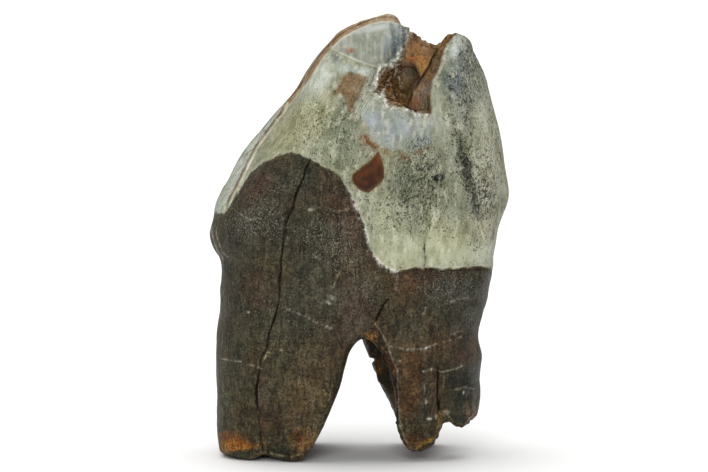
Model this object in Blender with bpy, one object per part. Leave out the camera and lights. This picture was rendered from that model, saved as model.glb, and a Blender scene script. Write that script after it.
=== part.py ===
"""A fossil upper cheek tooth of a woolly rhinoceros, standing on its broken roots.

The tooth grew as one piece, so it is one solid. It is skinned over level rings from the ground to above the
crown. The rings run between four outlines: the left and right edges seen from the front, and the front and
back faces seen from the side. The spaces between the roots, the chewing surface, the worn facet and the
broken hollow are then cut, the furrows are pressed in, and the feet are cut flat where the tooth rests.

Lengths are in millimetres until a mesh is made. X runs to the right of the front face, Y runs from the
front face to the back and Z runs up. The front face is the one that met the next tooth in the jaw.
"""

import math

import bmesh
import bpy
import numpy as np
from mathutils import Vector, noise

MM = 0.001

# Driving dimensions
CROWN_TOP = 89.4
NECK_HEIGHT = 44.0
FORK_HEIGHT = 25.0
BELOW_GROUND = -4.0
RING_STEP = 1.5
RING_POINTS = 112
TRIANGLES = 9400

# Outlines of the whole tooth, as (height, position) pairs
LEFT_EDGE = (
    (BELOW_GROUND, -28.2), (6, -28.5), (24, -28.4), (33, -27.4), (38.5, -27.8), (NECK_HEIGHT, -29.6),
    (49, -28.7), (54.6, -26.2), (61, -22.0), (67.4, -16.6), (73.8, -11.8), (78.7, -9.0), (83, -5.8),
    (CROWN_TOP + 1, 1.5),
)
RIGHT_EDGE = (
    (BELOW_GROUND, 24.2), (4, 24.8), (14, 25.1), (24, 24.5), (29.5, 25.3), (35, 26.9), (40.5, 27.4), (46, 28.1),
    (49.5, 29.4), (53, 30.0), (58, 29.4), (64.5, 28.2), (71, 26.4), (77, 24.8), (82, 22.7), (CROWN_TOP + 1, 17.5),
)
FRONT_FACE = (
    (BELOW_GROUND, -14.0), (6, -15.6), (16, -18.0), (26, -20.0), (38, -21.4), (50, -21.9), (60, -21.6),
    (68, -20.6), (75, -18.9), (82, -16.4), (CROWN_TOP + 1, -12.5),
)
BACK_FACE = (
    (BELOW_GROUND, 12.0), (10, 15.0), (24, 18.0), (38, 20.4), (50, 22.4), (60, 22.6), (70, 20.5), (80, 15.0),
    (CROWN_TOP + 1, 8.0),
)
# Squareness of the four corners of a ring: 2 is an ellipse and a larger number is squarer
CORNER_SQUARENESS = {"back right": 3.4, "back left": 2.8, "front left": 3.2, "front right": 3.2}

# Each wall fold: compass angle seen from above in degrees (0 right, 90 back, 180 left, 270 front),
# half width in degrees, height out of the wall, and the heights between which it stands
WALL_FOLDS = {
    "front style of the cheek wall": (-29, 7, 0.9, 30, 96),
    "furrow behind the front style": (-17, 6, -1.5, 34, 96),
    "rib of the front cusp": (-3, 9, 1.0, 34, 96),
    "middle furrow of the cheek wall": (14, 9, -1.8, 8, 96),
    "rib of the back cusp": (31, 7, 0.8, 30, 96),
    "hollow of the back wall": (96, 22, -1.8, 8, 96),
    "valley between the tongue side lobes": (172, 9, -3.6, 50, 98),
    "furrow down the tongue side trunk": (172, 11, -1.5, -8, 62),
}
FOLD_FADE = 16.0
NECK_WAVE = 3.2

# Space between the tongue side root and the cheek side roots, seen from the front as (height, x).
# It runs through from front to back. In the middle of the tooth it is a little higher and wider.
FORK_LEFT_WALL = (
    (BELOW_GROUND, -12.0), (0.4, -10.5), (4, -8.6), (10, -6.0), (16.4, -3.6), (22.8, -1.4), (FORK_HEIGHT, -0.1),
)
FORK_RIGHT_WALL = (
    (BELOW_GROUND, 11.4), (2, 10.2), (6, 8.2), (8.4, 7.0), (11.6, 5.1), (14.8, 3.7), (18, 2.5), (22.8, 1.1),
    (FORK_HEIGHT, -0.1),
)
FORK_VAULT_RISE = 3.5
FORK_VAULT_WIDENING = 0.22

# Inner edge of the front cheek root seen from the front, as (height, x), with a round channel behind it
RIDGE = ((BELOW_GROUND, 12.6), (1.6, 11.2), (3.6, 9.3), (6, 8.2), (12, 8.1), (16, 7.7), (20.4, 6.3), (25.6, 3.2))
RIDGE_TOP = 25.8
CHANNEL_DEPTH = (-12.6, 0.8)
CHANNEL_UNDERCUT = 3.4
CHANNEL_TOP = 27.5

# Arched gap between the two cheek roots, seen from the cheek side, and the outer slope of the back one
CHEEK_FORK = {"middle": 1.2, "half width": 3.4, "top": 19.0}
BACK_ROOT_SLOPE = {"foot": (16.3, 3.0, 0.0), "lean": math.radians(18)}

# Skyline of the crown from the front, left to right, as (x, z), how far back it stands, and the plainer
# line that the chewing surface follows behind it while it falls away to the back
SKYLINE = (
    (-16.0, 82.0), (-6.0, 84.6), (-2.3, 86.9), (1.9, 88.5), (6.3, 89.4), (8.1, 88.7), (9.2, 86.6), (10.6, 85.0),
    (12.0, 83.9), (14.7, 82.9), (16.2, 82.8), (17.3, 84.3), (18.6, 84.9), (20.2, 84.5), (22.0, 83.0), (34.0, 78.0),
)
SKYLINE_DEPTH = -5.5
LINE_BEHIND = ((-16.0, 77.5), (-8.0, 80.5), (0.0, 84.6), (7.0, 85.2), (16.0, 83.8), (22.0, 82.6), (34.0, 78.0))
FALL_BEHIND = math.tan(math.radians(11))

# Hollows of the chewing surface: centre and radii seen from above, turn in degrees, depth, raised rim
CHEWING_HOLLOWS = {
    "valley open to the tongue side": ((-9.0, 0.5), (15.0, 2.6), -4, 9.0, 0.7),
    "end of the valley": ((8.8, 2.6), (2.6, 3.8), 24, 8.5, 1.0),
    "back hollow": ((8.5, 10.6), (5.4, 2.2), 10, 7.5, 0.9),
    "worn bowl of the front crest": ((1.0, -4.6), (4.6, 1.5), -6, 1.4, 0.4),
    "worn bowl of the cheek crest": ((17.8, 2.5), (1.9, 7.5), -6, 1.7, 0.5),
    "worn bowl of the back crest": ((-2.5, 7.0), (5.0, 1.7), 12, 1.6, 0.4),
}
HOLLOW_STEEPNESS = 4
HOLLOW_WANDER = 1.6
HOLLOW_WANDER_SIZE = 5.0
RIM_WIDTH = 0.3

# Worn facet on the upper left of the front face: a point on its lower ridge, the ridge's slope, its lean
FACET_RIDGE = (-2.7, -17.6, 77.6)
FACET_RIDGE_SLOPE = math.radians(-18)
FACET_LEAN = math.radians(37)
FACET_RIGHT_END = 10.5

# Broken hollow in the front face. Its rim and its floor are outlines (x, z) with matching points.
PIT_RIM = (
    (8.3, 94.0), (7.9, 84.0), (7.2, 81.2), (5.3, 79.7), (3.3, 78.0), (2.6, 75.4), (3.5, 73.7), (5.3, 72.9),
    (8.3, 72.0), (11.3, 70.5), (14.9, 69.7), (14.0, 74.0), (14.9, 77.2), (16.4, 81.2), (17.6, 94.0),
)
PIT_FLOOR = (
    (9.4, 94.0), (9.0, 84.6), (8.0, 81.4), (6.4, 80.0), (4.8, 78.4), (4.4, 76.2), (4.8, 74.8), (6.0, 74.1),
    (7.6, 73.5), (8.8, 73.0), (9.9, 73.2), (10.9, 74.8), (12.2, 77.2), (13.9, 80.6), (15.6, 94.0),
)
PIT_RIM_DEPTH = -24.0
PIT_FLOOR_DEPTH = -9.4
PIT_LUMP = {"centre": (7.7, -10.0, 76.0), "radii": (2.7, 2.9, 3.4)}

# Furrows pressed in from the front: path of (x, z), half width and depth. Each fades in from its first point.
FRONT_FURROWS = {
    "furrow beside the front style": (
        ((25.0, 44), (23.5, 51), (21.8, 56), (20.0, 62), (18.2, 68), (17.0, 74), (16.6, 83)), 2.6, 1.5),
    "valley above the fork": (((8.0, 38), (5.6, 33), (1.0, 27)), 4.0, 1.6),
    "seam of the front cheek root": (((16.3, 33), (16.6, 18), (16.7, 0)), 1.5, 0.9),
    "flute of the front cheek root": (((12.7, 25), (12.4, 0)), 1.2, 0.5),
    "flute beside the cheek": (((21.2, 24), (21.0, 0)), 1.3, 0.45),
    "hollow of the tongue side root": (((-12.5, 46), (-15.5, 26), (-18.5, 4)), 3.4, 0.6),
}

# Underside of the front of the broken roots, as (x, z), and of the back; both breaks are rough
FRONT_BREAK = (
    (-32, 0.6), (-27.5, -0.3), (-23.5, -0.8), (-20.5, -0.5), (-19.0, 1.6), (-16.5, 0.7), (-12.5, -0.5), (-9, -0.2),
    (0, 0.0), (9.3, 3.2), (11.0, 1.7), (12.6, 1.5), (14.2, 2.0), (15.9, 3.4), (16.6, 5.4), (17.2, 8.4),
    (19.0, 8.2), (20.4, 6.4), (22.2, 6.2), (23.2, 8.0), (32, 8.6),
)
BACK_BREAK = ((-32, 0.9), (-24, -0.6), (-10, -0.4), (8, 0.8), (11, -1.2), (16, -1.0), (18, 0.6), (32, 3.0))
BREAK_ROUGHNESS = 1.1
BREAK_GRAIN = 4.5
BREAK_STEP = 0.9

SURFACE_LUMPS = 0.5
SURFACE_LUMP_SIZE = 11.0
FURROW_FADE = 9.0
REMESH_SIZE = 0.75
ROUNDING_PASSES = 3

ROOT_BROWN = (0.075, 0.058, 0.047)


def smooth_profile(points):
    """A function of height that runs smoothly through (height, value) pairs and never overshoots them."""
    heights, values = (np.array(column, float) for column in zip(*points))
    rises = np.diff(values) / np.diff(heights)
    slopes = np.zeros(len(values))
    slopes[0], slopes[-1] = rises[0], rises[-1]
    for i in range(1, len(values) - 1):
        before, after = rises[i - 1], rises[i]
        slopes[i] = 2 * before * after / (before + after) if before * after > 0 else 0.0

    def value_at(height):
        height = min(max(height, heights[0]), heights[-1])
        i = min(int(np.searchsorted(heights, height, side="right")) - 1, len(rises) - 1)
        span = heights[i + 1] - heights[i]
        t = (height - heights[i]) / span
        return (
            (2 * t**3 - 3 * t**2 + 1) * values[i]
            + (t**3 - 2 * t**2 + t) * span * slopes[i]
            + (3 * t**2 - 2 * t**3) * values[i + 1]
            + (t**3 - t**2) * span * slopes[i + 1]
        )

    return value_at


def fade(value, low, high):
    """0 at low, 1 at high, easing in and out."""
    t = min(max((value - low) / (high - low), 0.0), 1.0)
    return t * t * (3 - 2 * t)


def squareness_at(angle):
    """Squareness of a ring at an angle, eased from one corner to the next."""
    order = ("back right", "back left", "front left", "front right")
    position = (angle / (math.pi / 2) - 0.5) % 4
    corner = int(position)
    blend = fade(position - corner, 0.25, 0.75)
    return CORNER_SQUARENESS[order[corner]] * (1 - blend) + CORNER_SQUARENESS[order[(corner + 1) % 4]] * blend


def fold_at(angle, height):
    """How far the wall folds stand out at a compass angle and a height."""
    total = 0.0
    for compass, half_width, out, low, high in WALL_FOLDS.values():
        turn = (math.degrees(angle) - compass + 180) % 360 - 180
        standing = fade(height, low, low + FOLD_FADE) * fade(-height, -high, -high + FOLD_FADE)
        total += out * standing * math.exp(-((turn / half_width) ** 2))
    return total


def ring(height, left, right, front, back):
    """One ring of points between four edges, level but for the wave that the neck makes round the tooth."""
    centre_x, centre_y = (left + right) / 2, (front + back) / 2
    half_x, half_y = (right - left) / 2, (back - front) / 2
    wave = NECK_WAVE * fade(height, 8.0, 30.0) * fade(-height, -82.0, -60.0)
    points = []
    for i in range(RING_POINTS):
        angle = 2 * math.pi * i / RING_POINTS
        power = squareness_at(angle)
        reach = (abs(math.cos(angle) / half_x) ** power + abs(math.sin(angle) / half_y) ** power) ** (-1 / power)
        reach += fold_at(angle, height)
        lift = wave * math.sin(3 * angle)
        points.append((centre_x + reach * math.cos(angle), centre_y + reach * math.sin(angle), height + lift))
    return points


def solid(name, build):
    """An object whose closed mesh is made by build(bm) in millimetres."""
    bm = bmesh.new()
    build(bm)
    bmesh.ops.recalc_face_normals(bm, faces=bm.faces)
    bmesh.ops.scale(bm, vec=(MM, MM, MM), verts=bm.verts)
    mesh = bpy.data.meshes.new(name)
    bm.to_mesh(mesh)
    bm.free()
    made = bpy.data.objects.new(name, mesh)
    bpy.context.scene.collection.objects.link(made)
    return made


def skin(name, rings):
    """A solid skinned over rings of equal point count, with both ends closed."""

    def build(bm):
        loops = [[bm.verts.new(point) for point in points] for points in rings]
        for lower, upper in zip(loops, loops[1:]):
            for i in range(len(lower)):
                j = (i + 1) % len(lower)
                bm.faces.new((lower[i], lower[j], upper[j], upper[i]))
        bm.faces.new(loops[0])
        bm.faces.new(loops[-1])

    return solid(name, build)


def ellipsoid(name, centre, radii):
    def build(bm):
        bmesh.ops.create_icosphere(bm, subdivisions=4, radius=1)
        bmesh.ops.scale(bm, vec=radii, verts=bm.verts)
        bmesh.ops.translate(bm, vec=centre, verts=bm.verts)

    return solid(name, build)


def steps_between(low, high, step):
    count = math.ceil((high - low) / step)
    return [low + (high - low) * i / count for i in range(count + 1)]


def whole_tooth():
    edges = [smooth_profile(points) for points in (LEFT_EDGE, RIGHT_EDGE, FRONT_FACE, BACK_FACE)]
    rings = [
        ring(height, *(edge(height) for edge in edges))
        for height in steps_between(BELOW_GROUND, CROWN_TOP + 1, RING_STEP)
    ]
    return skin("tooth", rings)


def fork_cutter():
    """The space between the tongue side root and the cheek roots: an arch run from front to back."""
    left_wall, right_wall = smooth_profile(FORK_LEFT_WALL), smooth_profile(FORK_RIGHT_WALL)
    half_depth = 26.0
    shares = [math.sin(math.pi / 2 * i / 22) for i in range(23)]
    arches = []
    for y in steps_between(-half_depth, half_depth, 2.0):
        inside = fade(-abs(y), -15.0, -4.0)
        rise = 1 + FORK_VAULT_RISE * inside / (FORK_HEIGHT - BELOW_GROUND)
        widening = 1 + FORK_VAULT_WIDENING * inside
        levels = [BELOW_GROUND + (FORK_HEIGHT - BELOW_GROUND) * share for share in shares]
        left = [(left_wall(z) * widening, y, BELOW_GROUND + (z - BELOW_GROUND) * rise) for z in levels]
        right = [(right_wall(z), y, BELOW_GROUND + (z - BELOW_GROUND) * rise) for z in levels[:-1]]
        arches.append(left + right[::-1])
    return skin("fork cutter", arches)


def ridge_opening_cutter():
    """Opens the front face between the fork and the thin ridge of the front cheek root."""
    ridge = smooth_profile(RIDGE)
    edge = [(ridge(z), z) for z in steps_between(BELOW_GROUND, RIDGE[-1][0], RING_STEP)]
    outline = [*edge, (0.4, RIDGE_TOP), (0.0, FORK_HEIGHT - 1), (0.0, BELOW_GROUND)]
    front, back = -30.0, sum(CHANNEL_DEPTH) / 2
    return skin("ridge opening cutter", [[(x, y, z) for x, z in outline] for y in (front, back)])


def channel_cutter():
    """A round channel that hollows the cheek roots behind the ridge and runs out in the vault."""
    ridge = smooth_profile(RIDGE)
    front, back = CHANNEL_DEPTH
    half_depth, middle_depth = (back - front) / 2, (back + front) / 2
    rings = []
    for height in steps_between(BELOW_GROUND, CHANNEL_TOP, RING_STEP):
        narrowing = math.sqrt(max(1 - (height / CHANNEL_TOP) ** 4, 0.03))
        right = ridge(height) + CHANNEL_UNDERCUT * narrowing
        half_width = (right + 1.0) / 2 * narrowing
        rings.append([
            (
                right - half_width + half_width * math.cos(2 * math.pi * i / RING_POINTS),
                middle_depth + half_depth * narrowing * math.sin(2 * math.pi * i / RING_POINTS),
                height,
            )
            for i in range(RING_POINTS)
        ])
    return skin("channel cutter", rings)


def cheek_fork_cutter():
    """The arched gap between the two cheek roots, open to the cheek side."""
    middle, half_width, top = (CHEEK_FORK[key] for key in ("middle", "half width", "top"))
    arches = []
    for x in (6.0, 14.0, 34.0):
        flare = 1 + 0.25 * fade(x, 14.0, 34.0)
        arch = []
        for i in range(25):
            angle = math.pi * i / 24
            height = top * math.sin(angle) ** 0.8 if 0 < i < 24 else BELOW_GROUND
            arch.append((x, middle + half_width * flare * math.cos(angle), height * flare))
        arches.append(arch)
    return skin("cheek fork cutter", arches)


def back_root_cutter():
    """A slab that slopes the outer side of the back cheek root in towards its foot."""
    width, height = 30.0, 60.0

    def build(bm):
        bmesh.ops.create_cube(bm, size=1)
        bmesh.ops.scale(bm, vec=(width, width, height), verts=bm.verts)
        bmesh.ops.translate(bm, vec=(width / 2, width / 2, 0), verts=bm.verts)

    slab = solid("back root cutter", build)
    slab.rotation_euler = (0, BACK_ROOT_SLOPE["lean"], 0)
    slab.location = Vector(BACK_ROOT_SLOPE["foot"]) * MM
    return slab


def chewing_height(x, y):
    """Height of the chewing surface: the skyline, its fall to the back, and its hollows with raised rims."""
    skyline, behind = (float(np.interp(x, *zip(*line))) for line in (SKYLINE, LINE_BEHIND))
    share = fade(y, SKYLINE_DEPTH, SKYLINE_DEPTH + 6)
    height = skyline * (1 - share) + behind * share - (y - SKYLINE_DEPTH) * FALL_BEHIND
    wander = noise.noise_vector(Vector((x, y, 8.2)) / HOLLOW_WANDER_SIZE) * HOLLOW_WANDER
    x, y = x + wander.x, y + wander.y
    for (centre_x, centre_y), (radius_x, radius_y), turn, depth, rim in CHEWING_HOLLOWS.values():
        cosine, sine = math.cos(math.radians(turn)), math.sin(math.radians(turn))
        along = ((x - centre_x) * cosine + (y - centre_y) * sine) / radius_x
        across = ((y - centre_y) * cosine - (x - centre_x) * sine) / radius_y
        away = math.hypot(along, across)
        height -= depth * math.exp(-(away**HOLLOW_STEEPNESS))
        height += rim * math.exp(-(((away - 1.25) / RIM_WIDTH) ** 2))
    return height


def sheet_block(name, across, along, surface, far):
    """A block between a sheet of heights surface(x, y) and a level one at the height far."""

    def build(bm):
        sheet = [[bm.verts.new((x, y, surface(x, y))) for x in across] for y in along]
        level = [[bm.verts.new((x, y, far)) for x in across] for y in along]
        for rows in (sheet, level):
            for row, following in zip(rows, rows[1:]):
                for i in range(len(row) - 1):
                    bm.faces.new((row[i], row[i + 1], following[i + 1], following[i]))
        edges = (
            (sheet[0], level[0]),
            (sheet[-1], level[-1]),
            ([row[0] for row in sheet], [row[0] for row in level]),
            ([row[-1] for row in sheet], [row[-1] for row in level]),
        )
        for near_edge, far_edge in edges:
            for i in range(len(near_edge) - 1):
                bm.faces.new((near_edge[i], near_edge[i + 1], far_edge[i + 1], far_edge[i]))

    return solid(name, build)


def chewing_cutter():
    across = steps_between(-30.0, 36.0, 0.8)
    along = steps_between(-28.0, 28.0, 0.8)
    return sheet_block("chewing surface cutter", across, along, chewing_height, CROWN_TOP + 20)


def facet_cutter():
    """A slab in front of the worn facet's plane, ending on the left of the hollow."""
    width, depth, height = 40.0, 20.0, 30.0

    def build(bm):
        bmesh.ops.create_cube(bm, size=1)
        bmesh.ops.scale(bm, vec=(width, depth, height), verts=bm.verts)
        shift = (-width / 2 + FACET_RIGHT_END, -depth / 2, height / 2)
        bmesh.ops.translate(bm, vec=shift, verts=bm.verts)

    slab = solid("facet cutter", build)
    slab.rotation_euler = (-FACET_LEAN, -FACET_RIDGE_SLOPE, 0)
    slab.location = Vector(FACET_RIDGE) * MM
    return slab


def pit_cutter():
    """The hollow, narrowing from its rim on the front face to its floor."""
    middle = 0.5
    rings = []
    for share in (0.0, middle, 1.0):
        y = PIT_RIM_DEPTH + (PIT_FLOOR_DEPTH - PIT_RIM_DEPTH) * share
        toward_floor = fade(share, 0.35, 1.0)
        rings.append([
            (rim[0] + (floor[0] - rim[0]) * toward_floor, y, rim[1] + (floor[1] - rim[1]) * toward_floor)
            for rim, floor in zip(PIT_RIM, PIT_FLOOR)
        ])
    return skin("pit cutter", rings)


def break_height(x, y):
    """Height of the broken root ends: one line across the front, another across the back, both rough."""
    front_share = fade(-y, -2.6, 1.0)
    front, back = (float(np.interp(x, *zip(*line))) for line in (FRONT_BREAK, BACK_BREAK))
    rough = noise.noise(Vector((x / BREAK_GRAIN, y / BREAK_GRAIN, 3.7)))
    return front * front_share + back * (1 - front_share) + rough * BREAK_ROUGHNESS * (1 - 0.7 * front_share)


def break_cutter():
    across = steps_between(-32.0, 32.0, BREAK_STEP)
    along = steps_between(-28.0, 28.0, BREAK_STEP)
    return sheet_block("break cutter", across, along, break_height, BELOW_GROUND - 6)


def modify(target, kind, **settings):
    """Applies one modifier to an object's mesh."""
    modifier = target.modifiers.new(kind.lower(), kind)
    for key, value in settings.items():
        setattr(modifier, key, value)
    graph = bpy.context.evaluated_depsgraph_get()
    mesh = bpy.data.meshes.new_from_object(target.evaluated_get(graph))
    target.modifiers.clear()
    old = target.data
    target.data = mesh
    bpy.data.meshes.remove(old)


def combine(target, other, operation):
    modify(target, "BOOLEAN", object=other, operation=operation, solver="EXACT")
    bpy.data.objects.remove(other)


def distance_to_path(x, z, path):
    """Distance from a point of the front view to a path of (x, z) points."""
    nearest = float("inf")
    for (ax, az), (bx, bz) in zip(path, path[1:]):
        length_squared = (bx - ax) ** 2 + (bz - az) ** 2
        t = min(max(((x - ax) * (bx - ax) + (z - az) * (bz - az)) / length_squared, 0), 1)
        nearest = min(nearest, math.hypot(x - ax - t * (bx - ax), z - az - t * (bz - az)))
    return nearest


def press_furrows(target):
    """Presses the front furrows in, and lets the whole surface wander a little as grown things do."""
    for vertex, normal in zip(target.data.vertices, [v.normal.copy() for v in target.data.vertices]):
        x, y, z = vertex.co / MM
        move = SURFACE_LUMPS * noise.noise(Vector((x, y, z)) / SURFACE_LUMP_SIZE)
        if normal.y < 0:
            for path, half_width, depth in FRONT_FURROWS.values():
                away = distance_to_path(x, z, path) / half_width
                fading = fade(math.hypot(x - path[0][0], z - path[0][1]), 0.0, FURROW_FADE)
                move -= depth * math.exp(-(away**2)) * fading * fade(-normal.y, 0.0, 0.5)
        vertex.co += normal * (move * MM)


def cut_feet_flat(target):
    """Cuts the tooth off at the ground, so that it rests on flat spots under its roots."""
    bm = bmesh.new()
    bm.from_mesh(target.data)
    geometry = [*bm.verts, *bm.edges, *bm.faces]
    bmesh.ops.bisect_plane(bm, geom=geometry, dist=1e-7, plane_co=(0, 0, 0), plane_no=(0, 0, 1), clear_inner=True)
    bmesh.ops.triangle_fill(bm, edges=[edge for edge in bm.edges if edge.is_boundary], use_beauty=True)
    bmesh.ops.recalc_face_normals(bm, faces=bm.faces)
    bm.to_mesh(target.data)
    bm.free()


def centre_over_feet(target):
    """Puts the origin under the middle of the tooth, on the ground."""
    corners = np.array([vertex.co for vertex in target.data.vertices])
    middle = (corners.min(axis=0) + corners.max(axis=0)) / 2
    for vertex in target.data.vertices:
        vertex.co.x -= middle[0]
        vertex.co.y -= middle[1]


def principled(name, colour, roughness):
    material = bpy.data.materials.new(name)
    material.use_nodes = True
    shader = material.node_tree.nodes["Principled BSDF"]
    shader.inputs["Base Color"].default_value = (*colour, 1)
    shader.inputs["Roughness"].default_value = roughness
    shader.inputs["Metallic"].default_value = 0.0
    return material


def main():
    for leftover in list(bpy.data.objects):
        bpy.data.objects.remove(leftover)
    tooth = whole_tooth()
    cutters = (
        fork_cutter,
        ridge_opening_cutter,
        channel_cutter,
        cheek_fork_cutter,
        back_root_cutter,
        chewing_cutter,
        facet_cutter,
        pit_cutter,
    )
    for cutter in cutters:
        combine(tooth, cutter(), "DIFFERENCE")
    combine(tooth, ellipsoid("lump in the hollow", **PIT_LUMP), "UNION")
    modify(tooth, "REMESH", mode="VOXEL", voxel_size=REMESH_SIZE * MM)
    modify(tooth, "SMOOTH", factor=0.5, iterations=ROUNDING_PASSES)
    press_furrows(tooth)
    combine(tooth, break_cutter(), "DIFFERENCE")
    modify(tooth, "TRIANGULATE")
    modify(tooth, "DECIMATE", ratio=TRIANGLES / len(tooth.data.polygons))
    cut_feet_flat(tooth)
    centre_over_feet(tooth)
    tooth.data.materials.clear()
    tooth.data.materials.append(principled("fossil root cement", ROOT_BROWN, 0.6))
    tooth.data.shade_smooth()
    tooth.data.set_sharp_from_angle(angle=math.radians(50))


main()
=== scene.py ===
import math
from types import SimpleNamespace

import bmesh
import bpy
import numpy as np
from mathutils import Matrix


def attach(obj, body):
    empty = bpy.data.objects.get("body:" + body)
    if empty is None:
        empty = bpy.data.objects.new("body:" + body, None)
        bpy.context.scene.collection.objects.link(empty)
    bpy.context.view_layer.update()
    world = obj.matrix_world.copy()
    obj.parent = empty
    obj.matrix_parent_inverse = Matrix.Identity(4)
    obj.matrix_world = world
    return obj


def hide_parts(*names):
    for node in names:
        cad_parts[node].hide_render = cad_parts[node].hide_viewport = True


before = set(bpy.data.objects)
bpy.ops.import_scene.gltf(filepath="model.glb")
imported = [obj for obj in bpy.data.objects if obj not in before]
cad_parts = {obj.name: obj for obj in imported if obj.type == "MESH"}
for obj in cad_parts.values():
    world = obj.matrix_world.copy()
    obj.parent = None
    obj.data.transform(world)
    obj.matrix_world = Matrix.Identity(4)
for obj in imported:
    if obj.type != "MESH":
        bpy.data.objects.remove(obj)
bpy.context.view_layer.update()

# The view
# The tooth is seen from far off and a little above its middle, square to the face that met the next tooth.
# Lengths are in millimetres until they reach Blender.
MM = 0.001
VIEW_TARGET = np.array((-0.9, -10.0, 45.1))
VIEW_DISTANCE = 800.0
VIEW_SLOPE = math.radians(5.5)
VIEW_MIDDLE_HEIGHT = 44.8
PICTURE_PIXELS = 708
PIXEL_SIZE = 0.2
SENSOR = 36.0
FARTHEST_SEEN = 30.0

to_camera = np.array((0.0, -math.cos(VIEW_SLOPE), math.sin(VIEW_SLOPE)))
up_in_view = np.array((0.0, math.sin(VIEW_SLOPE), math.cos(VIEW_SLOPE)))
bpy.ops.object.select_all(action="DESELECT")
bpy.ops.object.camera_add(
    location=(VIEW_TARGET + to_camera * VIEW_DISTANCE) * MM,
    rotation=(math.pi / 2 - VIEW_SLOPE, 0, 0),
)
camera = bpy.context.object
camera.name = "camera"
camera.data.sensor_width = SENSOR
camera.data.lens = SENSOR * VIEW_DISTANCE / (PICTURE_PIXELS * PIXEL_SIZE)
camera.data.clip_end = FARTHEST_SEEN
bpy.context.scene.camera = camera


def front_view(places):
    """Where places appear from the front: millimetres right of the tooth's middle and above the floor."""
    offsets = places - VIEW_TARGET
    nearer = VIEW_DISTANCE / (VIEW_DISTANCE - offsets @ to_camera)
    across = offsets[:, 0] * nearer + VIEW_TARGET[0]
    up = offsets @ up_in_view * nearer + VIEW_MIDDLE_HEIGHT
    return np.stack([across, up], axis=1)


# The studio
# A white table in a white room. A wide soft lamp high on the left gives the shadow under the roots, and a
# broad panel near the camera lights the face of the tooth and hardly reaches the table.
FLOOR_SIZE = 16.0
FLOOR_GAP = 0.02
CARD_ROUGHNESS = 0.9
CARD_SHEEN = 0.1
# Each lamp: where it stands, its breadth as an angle seen from the tooth, and its strength
LAMPS = {
    "high lamp": ((-60, 120, 780), 70, 2.8),
    "front panel": ((-60, -800, 330), 30, 1.5),
}
ROOM_LIGHT = 0.22


def linear(colour):
    """Linear red, green and blue of an sRGB hex colour."""
    parts = [int(colour[i:i + 2], 16) / 255 for i in (1, 3, 5)]
    return [part / 12.92 if part <= 0.04045 else ((part + 0.055) / 1.055) ** 2.4 for part in parts]


bpy.ops.mesh.primitive_plane_add(size=FLOOR_SIZE, location=(0, 0, -FLOOR_GAP * MM))
table = bpy.context.object
table.name = "white_table"
table_white = bpy.data.materials.new("matt white card")
table_white.use_nodes = True
card = table_white.node_tree.nodes["Principled BSDF"]
card.inputs["Base Color"].default_value = (*linear("#fbfbfa"), 1)
card.inputs["Roughness"].default_value = CARD_ROUGHNESS
card.inputs["Specular IOR Level"].default_value = CARD_SHEEN
table.data.materials.append(table_white)

for name, (place, breadth, strength) in LAMPS.items():
    across, back, up = place
    tilt, turn = math.atan2(math.hypot(across, back), up), math.atan2(back, across)
    bpy.ops.object.light_add(type="SUN", location=np.array(place) * MM, rotation=(0, tilt, turn))
    lamp = bpy.context.object
    lamp.name = name
    lamp.data.angle = math.radians(breadth)
    lamp.data.energy = strength

room = bpy.data.worlds.new("white room")
room.use_nodes = True
room.node_tree.nodes["Background"].inputs["Color"].default_value = (1, 1, 1, 1)
room.node_tree.nodes["Background"].inputs["Strength"].default_value = ROOM_LIGHT
bpy.context.scene.world = room
bpy.context.scene.view_settings.view_transform = "Standard"
bpy.context.scene.view_settings.look = "None"

# The tooth's body
# One upper cheek tooth: an enamel crown over dentine on roots coated with brown cement, all of it mineral
# now. Its skin is a fine mesh wrapped round the solid, closest on the face that the view shows.
SKIN_STEP = 0.85
ROUNDING = 3
# The front: skin that turns to the view by at least this share and lies no farther back than this depth
SEEN_FROM_FRONT = 0.2
FRONT_DEPTH = 10.0
FINE_STEP = 0.2
# A face is split while its sides are longer than this many steps
SPLIT_ABOVE = 1.4
# The values that grain draws from, and the numbers that pick one of them for each corner of a cell
GRAIN_VALUES = 4096
GRAIN_PICKS = (73856093, 19349663, 83492791)
# Where the outline leaves the solid's: place and radii in the front view, turn, and how far out
OUTLINE_SHIFTS = (
    ((-29.4, 39.6), (5.0, 3.1), 0, -1.65),
    ((-27.8, 52.4), (2.5, 2.5), 0, 0.6),
    ((-20.4, 66.0), (3.0, 5.0), 0, -0.35),
    ((-9.6, 78.8), (2.5, 4.0), 0, 0.4),
    ((0.4, 88.0), (3.4, 2.0), 0, -0.95),
    ((4.8, 89.6), (1.6, 1.4), 0, -0.4),
    ((21.8, 83.6), (2.0, 2.0), 0, 0.95),
    ((29.0, 48.4), (3.0, 3.0), 0, -0.6),
    ((27.0, 37.4), (3.0, 2.0), 0, 0.5),
    ((24.4, 20.8), (4.0, 2.7), 0, 1.3),
    ((23.6, 14.0), (4.0, 2.6), 0, 0.4),
    ((-5.6, 11.5), (2.5, 9.0), -21, 0.9),
)


def apply_modifier(kind, **settings):
    """Adds a modifier to the active object with its settings and applies it."""
    bpy.ops.object.modifier_add(type=kind)
    modifier = bpy.context.object.modifiers[-1]
    for setting, value in settings.items():
        setattr(modifier, setting, value)
    bpy.ops.object.modifier_apply(modifier=modifier.name)


def ease(value, low, high):
    """0 below low and 1 above high, easing in and out between them."""
    share = np.clip((value - low) / (high - low), 0.0, 1.0)
    return share * share * (3 - 2 * share)


def near(value, middle, width):
    """1 where a value is at its middle, falling off softly on both sides over a width."""
    return np.exp(-(((value - middle) / width) ** 2))


def read_points(layer, name, width):
    """The values of one layer of the skin's points, a row for each point."""
    values = np.empty(len(tooth.data.vertices) * width, np.float32)
    layer.foreach_get(name, values)
    return values.reshape(-1, width).astype(float)


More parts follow.
